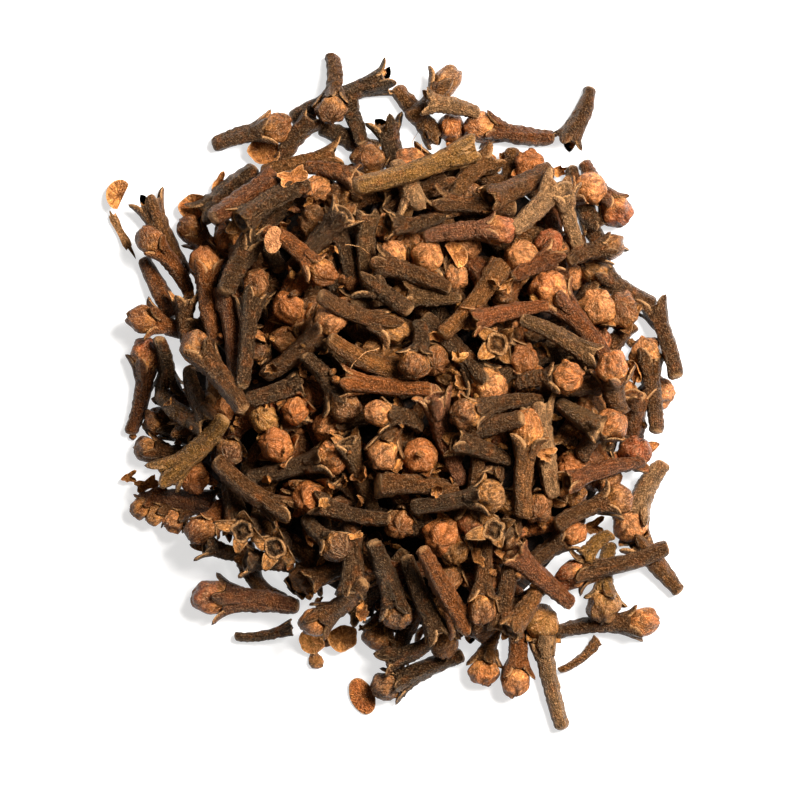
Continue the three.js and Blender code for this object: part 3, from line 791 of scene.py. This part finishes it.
def placed(c):
    kind = "whole" if has_bud(c) else c["kind"]
    size = 0.35 + 0.65 * c["girth"]
    (ux, uy), slope, height = c["ahead"], c["slope"], axis_height(c, c["run"])
    if kind == "star":
        slope, height = STAR_SLOPE, height + STAR_LIFT
    ahead = Vector((ux, uy, slope)).normalized()
    right = Vector((uy, -ux, 0))
    head = Vector((*c["head"], height))
    length = stem_end(c, c["run"] * math.hypot(1, slope))
    if c["kind"] in ("upright", "star"):
        room = (head.z - FLOOR_ROOM) / ahead.z - (BUD_SEAT * bud_radius(c) if has_bud(c) else 0)
        length = min(STEM_LENGTH * size, max(SHORTEST_STEM, room))
    reach = length + (BUD_SEAT * BUD_RADIUS * size if has_bud(c) else 0)
    tail = head - reach * ahead
    roll = Matrix.Rotation(luck.uniform(0, TURN), 3, "Z")
    turn = Matrix((right, ahead.cross(right), ahead)).transposed() @ roll
    colour, bud_colour = luck.choice(FILLER_COLOURS), luck.choice(list(BUD_COLOURS))
    spread = 0.3
    if c["colour"] != "filler":
        colour, *other = c["colour"].split("/")
        if has_bud(c):
            bud_colour = (other or [colour])[0]
        elif kind == "star":
            bud_colour = STAR_COLOUR
        spread = 0.06
    # A random spread of the clove's own tone, times painted shade that darkens cloves lying low in
    # the heap.
    tone_spread_and_painted_shade = luck.uniform(1 - spread, 1 + spread) * (0.67 + 0.48 * min(1.0, head.z / CROWN))
    tone = Vector(STEM_COLOURS[colour]) * tone_spread_and_painted_shade
    bud_tone = tone.lerp(Vector(BUD_COLOURS[bud_colour]), luck.uniform(0.7, 1.0))
    return dict(
        kind=kind, at=tail * MM, turn=turn.to_euler(), size=size * MM,
        pull=ahead * (length - STEM_LENGTH * size) * MM, bend=right * c["bow"] * MM,
        tone=tone, bud_tone=bud_tone, model=luck.randrange(len(MODELS[kind])), own=luck.random(),
    )


# %% [markdown]
# The listed buds and stars carry the look of the heap. A filler that lies over more than
# three of nine spots on such a head is left out, and the bed is raised again without it, so that
# nothing is laid on a clove that isn't there.

# %% Leaving out what hides the best
def hides(c, seen):
    x, y = seen["head"]
    reach = 2.4 if seen["kind"] == "star" else 1.5
    spots = [(x, y)]
    for angle in round_angles(8):
        spots.append((x + reach * math.cos(angle), y + reach * math.sin(angle)))
    return sum(top_at(c, *spot) > top_at(seen, *spot) for spot in spots) > 3


fillers = [c for c in heap if c["colour"] == "filler"]
seen_best = [c for c in heap if c["colour"] != "filler" and (has_bud(c) or c["kind"] == "star")]
hiding = [id(c) for c in fillers if any(hides(c, seen) for seen in seen_best)]
spared = [c for c in heap if id(c) not in hiding]
print(len(hiding), "fillers would hide a bud or a star and are left out")
bed[:] = bare_bed
for c in spared:
    raise_bed(c, False)
places = [placed(c) for c in spared]
print({kind: sum(p["kind"] == kind for p in places) for kind in MODELS})

# %% [markdown]
# Between the cloves on top, deeper ones peep out and bits have slipped into the gaps. A gap is a
# place where the bed stays well under the mound. Of a few places drawn, the deepest is taken,
# and a bud that peeps out fills the gap up.

# %% What lies in the gaps
filled = bed.copy()


def deepest_gap(tries, outermost):
    spots = []
    for _ in range(tries):
        bearing = luck.uniform(0, TURN)
        out = outermost * math.sqrt(luck.random()) * heap_radius(bearing)
        x, y = out * math.cos(bearing), out * math.sin(bearing)
        spot = cell_of(x), cell_of(y)
        spots.append((ceiling(x, y, 1) - filled[spot], x, y, bed[spot]))
    return max(spots)[1:]


def loose(kind, x, y, z, size, colour, tilt=0.5):
    turn = Vector((luck.uniform(-tilt, tilt), luck.uniform(-tilt, tilt), luck.uniform(0, TURN)))
    tone = Vector(STEM_COLOURS[colour]) * luck.uniform(0.8, 1.1)
    bud_tone = tone.lerp(Vector(luck.choice(list(BUD_COLOURS.values()))), luck.uniform(0.4, 1.0))
    return dict(
        kind=kind, at=Vector((x, y, z)) * MM, turn=turn, size=size * MM, pull=Vector(), bend=Vector(),
        tone=tone, bud_tone=bud_tone, model=luck.randrange(len(MODELS[kind])), own=luck.random(),
    )


def peeping():
    x, y, top = deepest_gap(7, 0.85)
    filled[cell_of(x) - 4 : cell_of(x) + 5, cell_of(y) - 4 : cell_of(y) + 5] += 2.5
    lean = Vector((luck.uniform(-0.9, 0.9), luck.uniform(-0.9, 0.9), 1)).normalized()
    size = luck.uniform(0.8, 1.0)
    middle = Vector((x, y, top + luck.uniform(-0.3, 1.0)))
    length = max(2.0, min(6.0, middle.z / lean.z - 4.0))
    place = loose("whole", 0, 0, 0, size, luck.choice(FILLER_COLOURS))
    place["at"] = (middle - (length + BUD_SEAT * BUD_RADIUS * size) * lean) * MM
    place["turn"] = lean.to_track_quat("Z", "Y").to_euler()
    place["pull"] = lean * (length - STEM_LENGTH * size) * MM
    return place


peeping_places = [peeping() for _ in range(30)]
bit_places = []
for _ in range(190):
    x, y, top = deepest_gap(4, 0.92)
    kind = "husk" if luck.random() < 0.6 else "crumb"
    size = luck.uniform(0.5, 1.25) if kind == "husk" else luck.uniform(0.3, 0.85)
    colour = luck.choice(BIT_COLOURS)
    bit_places.append(loose(kind, x, y, top + luck.uniform(0.2, 1.0), size, colour, tilt=1.4))
print(len(peeping_places), "buds peep out")


# %% [markdown]
# A few bits are seen best, like the cloves above: petals, husks and a sliver at the rim, a chip
# on the heap, fibres. Each row names a kind, a place, a heading in degrees, a size and a colour.

# %% Bits one by one
BITS = [
    ("half", -43.9, 30.0, 246, 1.0, "orange"), ("sliver", -43.6, 24.5, -62, 1.35, "ash"),
    ("chip", -19.9, 22.5, 80, 0.95, "pale"), ("petal", -21.4, 36.8, 170, 1.35, "orange"),
    ("chip", -6.3, -47.3, 114, 1.3, "rust"), ("husk", -42.2, -13.5, 30, 0.8, "orange"),
    ("crumb", -41.7, -7.2, 0, 0.6, "orange"), ("crumb", -13.4, -41.9, 0, 1.35, "tan"),
    ("petal", -32.3, 28.4, 30, 1.2, "orange"), ("husk", -28.3, 32.0, 60, 1.1, "red"),
    ("husk", 24.2, 33.9, 20, 0.9, "orange"), ("half", 8.0, 20.3, 120, 0.9, "orange"),
    ("petal", -9.3, -38.5, 20, 1.25, "tan"), ("petal", -14.3, -39.0, 150, 1.1, "olive"),
    ("husk", -39.5, -14.6, 20, 1.2, "orange"), ("crumb", -12.0, -38.6, 0, 1.3, "olive"),
    ("husk", 29.5, -21.2, 30, 1.2, "tan"), ("husk", -16.9, 32.3, 20, 1.5, "orange"),
    ("fibre", -5.8, 4.2, 35, 0.9, "pale"), ("fibre", 2.0, 37.8, 80, 0.8, "pale"),
    ("fibre", 3.6, 36.2, 120, 0.6, "pale"), ("fibre", -7.0, 21.0, -20, 0.7, "pale"),
]
for kind, x, y, heading, size, colour in BITS:
    bit = loose(kind, x, y, max(0.35, bed[cell_of(x), cell_of(y)] + 0.25), size, colour)
    bit["turn"] = Vector((luck.uniform(-0.2, 0.2), luck.uniform(-0.2, 0.2), math.radians(heading)))
    bit_places.append(bit)
print(len(bit_places), "bits lie in the gaps and round the heap")

# %% [markdown]
# Strays are cloves that the solid leaves out: thin twigs beside the heap, and stems and small
# buds that reach out from under its rim. A row gives the kind, the tail's and the head's place,
# the height, the girth and the colour. The models are pulled and bowed to fit between the ends.

# %% Strays
STRAYS = [
    ("stem", (-25.7, -38.1), (-17.4, -36.7), 0.9, 0.6, "dark"),
    ("stem", (24.2, -43.3), (30.0, -38.7), 0.9, 0.5, "tan"),
    ("stem", (31.9, -22.4), (28.3, -26.0), 4.5, 0.85, "olive"),
    ("stem", (-25.4, -25.0), (-19.8, -32.5), 1.6, 0.9, "brown"),
    ("stem", (17.0, 33.4), (25.0, 28.5), 1.6, 1.0, "dark"),
    ("stem", (10.6, 34.6), (17.4, 31.0), 1.6, 1.0, "brown"),
    ("stem", (-24.5, 23.0), (-18.0, 29.5), 3.2, 1.0, "dark"),
    ("stem", (26.0, 34.2), (29.6, 25.2), 1.6, 1.0, "dark"),
    ("stem", (35.4, 9.8), (31.5, 4.4), 1.8, 1.0, "brown"),
    ("whole", (-31.0, -18.4), (-34.0, -19.8), 1.8, 0.75, "brown"),
    ("whole", (-34.0, -17.6), (-37.0, -18.8), 1.8, 0.7, "brown"),
    ("whole", (-36.5, -15.5), (-39.4, -17.6), 1.6, 0.65, "orange"),
]
strays = []
for kind, tail, head, height, girth, colour in STRAYS:
    way = Vector((head[0] - tail[0], head[1] - tail[1], 0.4))
    place = loose(kind, *tail, height, girth, colour)
    place["turn"] = way.to_track_quat("Z", "Y").to_euler()
    place["pull"] = (way - STEM_LENGTH * girth * way.normalized()) * MM
    place["bend"] = 0.6 * way.normalized().cross(Vector((0, 0, 1))) * MM
    strays.append(place)
print(len(strays), "strays lie at the rim")

# %% [markdown]
# ## Shader maths as expressions
#
# A finish is easier to read as a formula than as a list of nodes. This class wraps one output
# socket, and each operator adds the Math node that it stands for. Sockets are named with an
# underscore for each space, or by their number after an n. The place in the heap is handed out in
# millimetres.

# %% The wrapper
class Value:
    def __init__(self, tree, socket):
        self.tree, self.socket = tree, socket

    def feed(self, node, **sockets):
        for name, value in sockets.items():
            numbered = name[0] == "n" and name[1:].isdigit()
            target = node.inputs[int(name[1:]) if numbered else name.replace("_", " ")]
            if isinstance(value, Value):
                self.tree.links.new(value.socket, target)
            else:
                target.default_value = value

    def node(self, kind, settings=None, out=0, **sockets):
        made = self.tree.nodes.new(kind)
        for name, setting in (settings or {}).items():
            setattr(made, name, setting)
        self.feed(made, **sockets)
        return Value(self.tree, made.outputs[out])

    def passed(self, kind, **sockets):
        return self.node(kind, Geometry=self, **sockets)

    def maths(self, operation, *terms, kind="ShaderNodeMath"):
        sockets = {f"n{k}": term for k, term in enumerate(terms)}
        return self.node(kind, {"operation": operation}, **sockets)

    def __add__(self, other):
        return self.maths("ADD", self, other)

    def __sub__(self, other):
        return self.maths("SUBTRACT", self, other)

    def __rsub__(self, other):
        return self.maths("SUBTRACT", other, self)

    def __mul__(self, other):
        return self.maths("MULTIPLY", self, other)

    def __truediv__(self, other):
        return self.maths("DIVIDE", self, other)

    def __pow__(self, other):
        return self.maths("POWER", self, other)

    __radd__, __rmul__ = __add__, __mul__

    def ramp(self, low, high, to_low=0.0, to_high=1.0):
        return self.node(
            "ShaderNodeMapRange", {"interpolation_type": "SMOOTHSTEP"},
            Value=self, From_Min=low, From_Max=high, To_Min=to_low, To_Max=to_high,
        )

    def parts(self):
        split = self.node("ShaderNodeSeparateXYZ", Vector=self)
        return [Value(self.tree, s) for s in split.socket.node.outputs]

    def joined(self, x, y, z):
        return self.node("ShaderNodeCombineXYZ", X=x, Y=y, Z=z)

    def scaled(self, factor):
        return self.node("ShaderNodeVectorMath", {"operation": "SCALE"}, Vector=self, Scale=factor)

    def mixed(self, other, share):
        return self.node("ShaderNodeMix", {"data_type": "RGBA"}, out=2, n0=share, n6=self, n7=other)

    def noise(self, scale, detail, roughness):
        return self.node(
            "ShaderNodeTexNoise", Vector=self, Scale=scale, Detail=detail, Roughness=roughness
        )


def new_finish(name):
    material = bpy.data.materials.new(name)
    material.use_nodes = True
    tree = material.node_tree
    surface = tree.nodes["Principled BSDF"]
    base = Value(tree, surface.outputs[0])
    place = base.node("ShaderNodeTexCoord", out=3).scaled(1 / MM)
    return material, surface, base, place


# %% [markdown]
# ## The skin of a clove
#
# Dried cloves are dull brown with a fine pebbled grain. Its pale specks are made brighter than the
# grain's own colour, so they are partly pale grain and partly painted glints. Folds run
# along the stem and from pole to pole over the bud. The grain is the same in all directions, so
# it reads the place in the heap. The folds follow the clove, so they read the place in the clove,
# as a direction round its axis and a height. Buds are golden low down, smoother and glossier than
# stems. Tips of lobes and tails are worn pale. Painted shade darkens the pits of the grain, the
# hollows of the folds, the grooves of the fine lines, the seams between petals and the pit of an
# open calyx, and painted highlights lighten the ridges of the folds and the raised lines on buds.

# %% The finish
AS_COLOUR, AS_VECTOR, AS_NUMBER = 0, 1, 2
skin, surface, base, place = new_finish("clove_skin")


def note(name, out):
    return base.node("ShaderNodeAttribute", {"attribute_name": name}, out=out)


tone, bud_tone = note("tone", AS_COLOUR), note("bud_tone", AS_COLOUR)
bud, edge, own = (note(name, AS_NUMBER) for name in ("bud", "edge", "own"))
x, y, z = note("clove_co", AS_VECTOR).parts()
reach = (x * x + y * y + 0.02) ** 0.5
around = base.joined(x / reach, y / reach, z * 0.2 + own * 40)
folds = around.noise(2.6, 3.0, 0.65)
lines = base.joined(x / reach, y / reach, z * (0.12 + 0.18 * bud) + own * 40).noise(6.0, 3.0, 0.65)
pebbles = place.noise(3.6, 2.0, 0.6)
grain = place.noise(8.0, 1.0, 0.6)
patches = place.noise(0.5, 3.0, 0.6)
worn = place.noise(1.1, 3.0, 0.6)

low_down = 1 - ((z - STEM_LENGTH) / (1.7 * BUD_RADIUS)).ramp(0.0, 0.85)
bud_colour = bud_tone.mixed((*GOLD, 1), low_down * patches.ramp(0.38, 0.62, 0.15, 0.85))
bud_colour = bud_colour.mixed(tone, worn.ramp(0.4, 0.62) * 0.75)
# Painted shade: the grooves of the fine lines on a bud are darkened.
bud_colour = bud_colour.mixed(bud_colour.scaled(0.6), (1 - lines.ramp(0.38, 0.56)) * 0.6)
stem_colour = tone.mixed(tone.scaled(0.6), worn.ramp(0.4, 0.64))
stem_colour = stem_colour.mixed((*RUST, 1), patches.ramp(0.5, 0.72) * 0.5)
# Painted shade: the grooves of the fine lines on a stem are darkened.
stem_colour = stem_colour.mixed(stem_colour.scaled(0.5), (1 - lines.ramp(0.36, 0.52)) * 0.6)
colour = stem_colour.mixed(bud_colour, bud)
soft = 1 - 0.4 * bud
# Painted shade: the pits of the grain are darkened, less on buds.
colour = colour.mixed(colour.scaled(0.6), (1 - pebbles.ramp(0.36, 0.5)) * soft)
# Painted shade: the hollows of the folds are darkened.
colour = colour.mixed(colour.scaled(0.4), (1 - folds.ramp(0.34, 0.5)) * (0.7 - 0.15 * bud))
# Painted highlight: the ridges of the folds are lightened.
colour = colour.mixed(colour.scaled(1.65), folds.ramp(0.5, 0.66) * 0.6)
# Painted highlight: the raised fine lines on a bud are lightened as if lit.
painted_highlight = colour.scaled(1.8).mixed((*PALE_SPECK_AND_GLINT, 1), 0.28)
colour = colour.mixed(painted_highlight, lines.ramp(0.5, 0.68) * bud * 0.35)
# Pale specks on the grain, brightened past the skin's own colour: partly real specks, partly painted
# glints.
specks_and_painted_glints = pebbles.ramp(0.48, 0.64) * grain.ramp(0.4, 0.6) * lines.ramp(0.38, 0.54, 0.4, 1.0)
colour = colour.mixed(colour.scaled(2.1).mixed((*PALE_SPECK_AND_GLINT, 1), 0.19), specks_and_painted_glints * soft)
colour = colour.mixed((*PALE, 1), edge.ramp(0.1, 0.9) * worn.ramp(0.35, 0.55, 0.35, 0.9))
# Painted shade: marks below nothing darken the seams between petals and the pit of an open calyx.
colour = colour.mixed(colour.scaled(0.25), (0 - edge).ramp(0.1, 0.7))
relief = (0.8 + 0.5 * bud) * folds + (0.9 - 0.3 * bud) * lines
relief = relief + (2.1 - 1.4 * bud) * pebbles + (0.7 - 0.3 * bud) * grain
base.feed(
    surface, Base_Color=colour, Roughness=0.38 - 0.1 * bud - 0.12 * grain,
    Specular_IOR_Level=0.32, Specular_Tint=(1.0, 0.74, 0.48, 1),
    Normal=base.node("ShaderNodeBump", Strength=1.0, Distance=0.4 * MM, Height=relief),
)
print("the skin has", len(skin.node_tree.nodes), "nodes")

# %% [markdown]
# ## Laying the models with Geometry Nodes
#
# One tree lays all cloves of a kind. It sets a model on each point, makes the copies real, pulls
# and bows each stem, and pushes the whole surface in and out by a slow noise, so that two copies
# of one model no longer look alike. Then it lifts what would dip under the table and puts the
# skin on.

# %% The tree that lays cloves
TREE_INPUTS = {
    "Cloves": "Geometry", "Models": "Collection", "Skin": "Material",
    "Lump Height": "Float", "Lump Size": "Float",
}


def build_laying_tree():
    tree = bpy.data.node_groups.new("lay_cloves", "GeometryNodeTree")
    face = tree.interface
    for name, kind in TREE_INPUTS.items():
        face.new_socket(name, in_out="INPUT", socket_type=f"NodeSocket{kind}")
    face.new_socket("Cloves", in_out="OUTPUT", socket_type="NodeSocketGeometry")
    inputs = tree.nodes.new("NodeGroupInput").outputs
    base = Value(tree, inputs["Cloves"])
    lump_height, lump_size = (Value(tree, inputs[name]) for name in ("Lump Height", "Lump Size"))

    def named(name, kind):
        return base.node("GeometryNodeInputNamedAttribute", {"data_type": kind}, Name=name)

    def vector(operation, *terms):
        return base.maths(operation, *terms, kind="ShaderNodeVectorMath")

    models = base.node(
        "GeometryNodeCollectionInfo", Collection=Value(tree, inputs["Models"]),
        Separate_Children=True, Reset_Children=True,
    )
    laid = base.node(
        "GeometryNodeInstanceOnPoints", Points=base, Instance=models, Pick_Instance=True,
        Instance_Index=named("model", "INT"), Rotation=named("turn", "FLOAT_VECTOR"),
        Scale=named("size", "FLOAT"),
    ).passed("GeometryNodeRealizeInstances")
    along = named("along", "FLOAT")
    pulled = named("pull", "FLOAT_VECTOR").scaled(along)
    bowed = named("bend", "FLOAT_VECTOR").scaled(along * (1 - along) * 4)
    laid = laid.passed("GeometryNodeSetPosition", Offset=vector("ADD", pulled, bowed))
    spot = base.node("GeometryNodeInputPosition")
    noise = vector("DIVIDE", spot, base.joined(lump_size, lump_size, lump_size)).noise(1.0, 2.0, 0.6)
    lumps = base.node("GeometryNodeInputNormal").scaled((noise - 0.5) * lump_height)
    laid = laid.passed("GeometryNodeSetPosition", Offset=lumps)
    x, y, z = spot.parts()
    above = base.joined(x, y, z.maths("MAXIMUM", z, 0.02 * MM))
    laid = laid.passed("GeometryNodeSetPosition", Position=above)
    laid = laid.passed("GeometryNodeSetMaterial", Material=Value(tree, inputs["Skin"]))
    end = tree.nodes.new("NodeGroupOutput")
    tree.links.new(laid.socket, end.inputs["Cloves"])
    return tree


laying = build_laying_tree()
print("the tree that lays cloves has", len(laying.nodes), "nodes")

# %% [markdown]
# A piece is made in four steps: one point for each clove with what the tree reads, the tree as a
# modifier, the result as a plain mesh, and the modifier off again. Notes that only the tree needs
# are dropped from the mesh.

# %% From points to a piece
POINT_NOTES = dict.fromkeys(("turn", "pull", "bend", "tone", "bud_tone"), "FLOAT_VECTOR")
POINT_NOTES |= {"size": "FLOAT", "own": "FLOAT", "model": "INT"}
TREE_NOTES = ("along", "turn", "pull", "bend", "size", "model")


def shown(name, data):
    thing = bpy.data.objects.new(name, data)
    bpy.context.scene.collection.objects.link(thing)
    return thing


def collection_of(kind):
    group = bpy.data.collections.new(f"models_{kind}")
    for thing in MODELS[kind]:
        group.objects.link(thing)
    return group


def points_of(chosen):
    mesh = bpy.data.meshes.new("points")
    mesh.from_pydata([tuple(p["at"]) for p in chosen], [], [])
    for name, kind in POINT_NOTES.items():
        layer = mesh.attributes.new(name, kind, "POINT")
        field = "vector" if kind == "FLOAT_VECTOR" else "value"
        layer.data.foreach_set(field, np.array([p[name] for p in chosen]).ravel())
    return mesh


def lay(name, chosen, models, lump_height, lump_size):
    seedbed = shown(name + "_points", points_of(chosen))
    modifier = seedbed.modifiers.new("lay", "NODES")
    modifier.node_group = laying
    values = {
        "Models": models, "Skin": skin,
        "Lump Height": lump_height * MM, "Lump Size": lump_size * MM,
    }
    for item in laying.interface.items_tree:
        if item.in_out == "INPUT" and item.name in values:
            modifier[item.identifier] = values[item.name]
    depsgraph = bpy.context.evaluated_depsgraph_get()
    laid = seedbed.evaluated_get(depsgraph)
    mesh = bpy.data.meshes.new_from_object(laid, depsgraph=depsgraph)
    seedbed.modifiers.remove(modifier)
    bpy.data.objects.remove(seedbed)
    for spare in [a.name for a in mesh.attributes if a.name in TREE_NOTES]:
        mesh.attributes.remove(mesh.attributes[spare])
    mesh.shade_smooth()
    mesh.name = name
    piece = shown(name, mesh)
    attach(piece, "root")
    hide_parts("clove_heap")
    triangles = sum(len(f.vertices) - 2 for f in mesh.polygons)
    print(name, len(chosen), "laid,", triangles, "triangles")


# %% [markdown]
# Whole cloves are too many for one piece, so each kind is laid in batches. The bits have few
# faces, so each kind of bit is one piece, with lower lumps.

# %% The cloves and the bits
BATCH = 60
cloves = places + peeping_places + strays
for kind in ("whole", "open", "star", "stem"):
    models, chosen = collection_of(kind), [p for p in cloves if p["kind"] == kind]
    for n in range(0, len(chosen), BATCH):
        name = f"{kind}_cloves_{n // BATCH + 1}"
        lay(name, chosen[n : n + BATCH], models, lump_height=0.3, lump_size=1.3)
for kind in ("husk", "petal", "half", "sliver", "chip", "crumb", "fibre"):
    chosen = [p for p in bit_places if p["kind"] == kind]
    lay(f"bits_{kind}", chosen, collection_of(kind), lump_height=0.1, lump_size=0.8)

# %% [markdown]
# ## The core
#
# Deep between the cloves it is nearly black with shade. A low mound under the first layer, a little
# below the one that the rule laid them on, closes the view to the table. Its near-black colour is
# painted shade, with lighter motes of dust.

# %% The core
shade_and_dust, shade_and_dust_surface, shade_and_dust_base, shade_and_dust_place = new_finish("clove_shade_and_dust")
motes = shade_and_dust_place.noise(2.0, 4.0, 0.7)
# The near-black base colour is painted shade; the lighter motes are dust.
dark = shade_and_dust_base.joined(*srgb(18, 10, 4))
shade_and_dust_base.feed(
    shade_and_dust_surface, Base_Color=dark.mixed((*srgb(52, 31, 15), 1), motes.ramp(0.45, 0.7)),
    Roughness=0.85 + 0.1 * motes, Specular_IOR_Level=0.28,
    Normal=shade_and_dust_base.node("ShaderNodeBump", Strength=1.0, Distance=0.5 * MM, Height=motes),
)

CORE_SIDES, CORE_DEPTH = 72, 0.4
CORE_SHARES = (0.98, 0.95, 0.9, 0.82, 0.72, 0.6, 0.45, 0.28, 0.12)


def core_ring(share, sunk=False):
    height = 0.0 if sunk else max(0.0, BED_HEIGHT * mound(share) - CORE_DEPTH)
    ring = []
    for bearing in round_angles(CORE_SIDES):
        r = share * BED_REACH * heap_radius(bearing)
        ring.append((r * math.cos(bearing) * MM, r * math.sin(bearing) * MM, height * MM))
    return ring


rings = [core_ring(CORE_SHARES[0], sunk=True)] + [core_ring(share) for share in CORE_SHARES]
mound_model = Model()
mound_model.add(rings, (0, 0, 0), (0, 0, (BED_HEIGHT - CORE_DEPTH) * MM))
core = shown("core", mound_model.mesh("core"))
core.data.materials.append(shade_and_dust)
core.data.shade_smooth()
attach(core, "root")
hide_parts("clove_heap")
print("the core has", len(core.data.polygons), "faces")

# %% [markdown]
# ## Table, light and camera
#
# The heap lies on a plain white table that glows a little, as a lit sweep of paper does. A soft
# key light stands at the upper right, a broad window behind it softens its shadows, and a warm
# room fills them. The camera looks down from far away, so the cloves on top keep their place
# over those below.

# %% Table
table_finish, table_surface, table_base, _ = new_finish("white_table")
table_base.feed(
    table_surface, Base_Color=(0.42, 0.42, 0.42, 1), Roughness=0.6,
    Emission_Color=(1, 1, 1, 1), Emission_Strength=0.64,
)
TABLE_HALF = 3.0
corners = [(x * TABLE_HALF, y * TABLE_HALF, 0) for x, y in ((-1, -1), (1, -1), (1, 1), (-1, 1))]
table_mesh = bpy.data.meshes.new("table")
table_mesh.from_pydata(corners, [], [(0, 1, 2, 3)])
table_mesh.materials.append(table_finish)
table = shown("table", table_mesh)

# %% Light
world = bpy.data.worlds.new("white_room")
bpy.context.scene.world = world
world.use_nodes = True
room = world.node_tree.nodes["Background"]
room.inputs["Color"].default_value = (1.0, 0.86, 0.66, 1)
room.inputs["Strength"].default_value = 0.13


def soft_light(name, place, size, power, colour):
    lamp = bpy.data.lights.new(name, "AREA")
    lamp.size, lamp.energy, lamp.color = size, power, colour
    thing = shown(name, lamp)
    thing.location = place
    thing.rotation_euler = (-Vector(place)).to_track_quat("-Z", "Y").to_euler()


soft_light("key", (0.4, 0.27, 0.58), size=0.34, power=25.5, colour=(1.0, 0.97, 0.94))
soft_light("window", (0.55, 0.4, 0.5), size=1.0, power=3.5, colour=(1.0, 0.99, 0.97))

# %% Camera
PICTURE_WIDTH, DISTANCE, ELEVATION, SENSOR = 0.12215, 1.4, math.radians(88), 36
aim = Vector((-0.0009, -0.0013, 0.006))
eye = bpy.data.cameras.new("camera")
eye.sensor_width, eye.clip_end = SENSOR, 20
eye.lens = SENSOR * DISTANCE / PICTURE_WIDTH
camera = shown("camera", eye)
camera.location = aim + DISTANCE * Vector((0, -math.cos(ELEVATION), math.sin(ELEVATION)))
camera.rotation_euler = (math.radians(90) - ELEVATION, 0, 0)
bpy.context.scene.camera = camera
bpy.context.scene.view_settings.view_transform = "Standard"
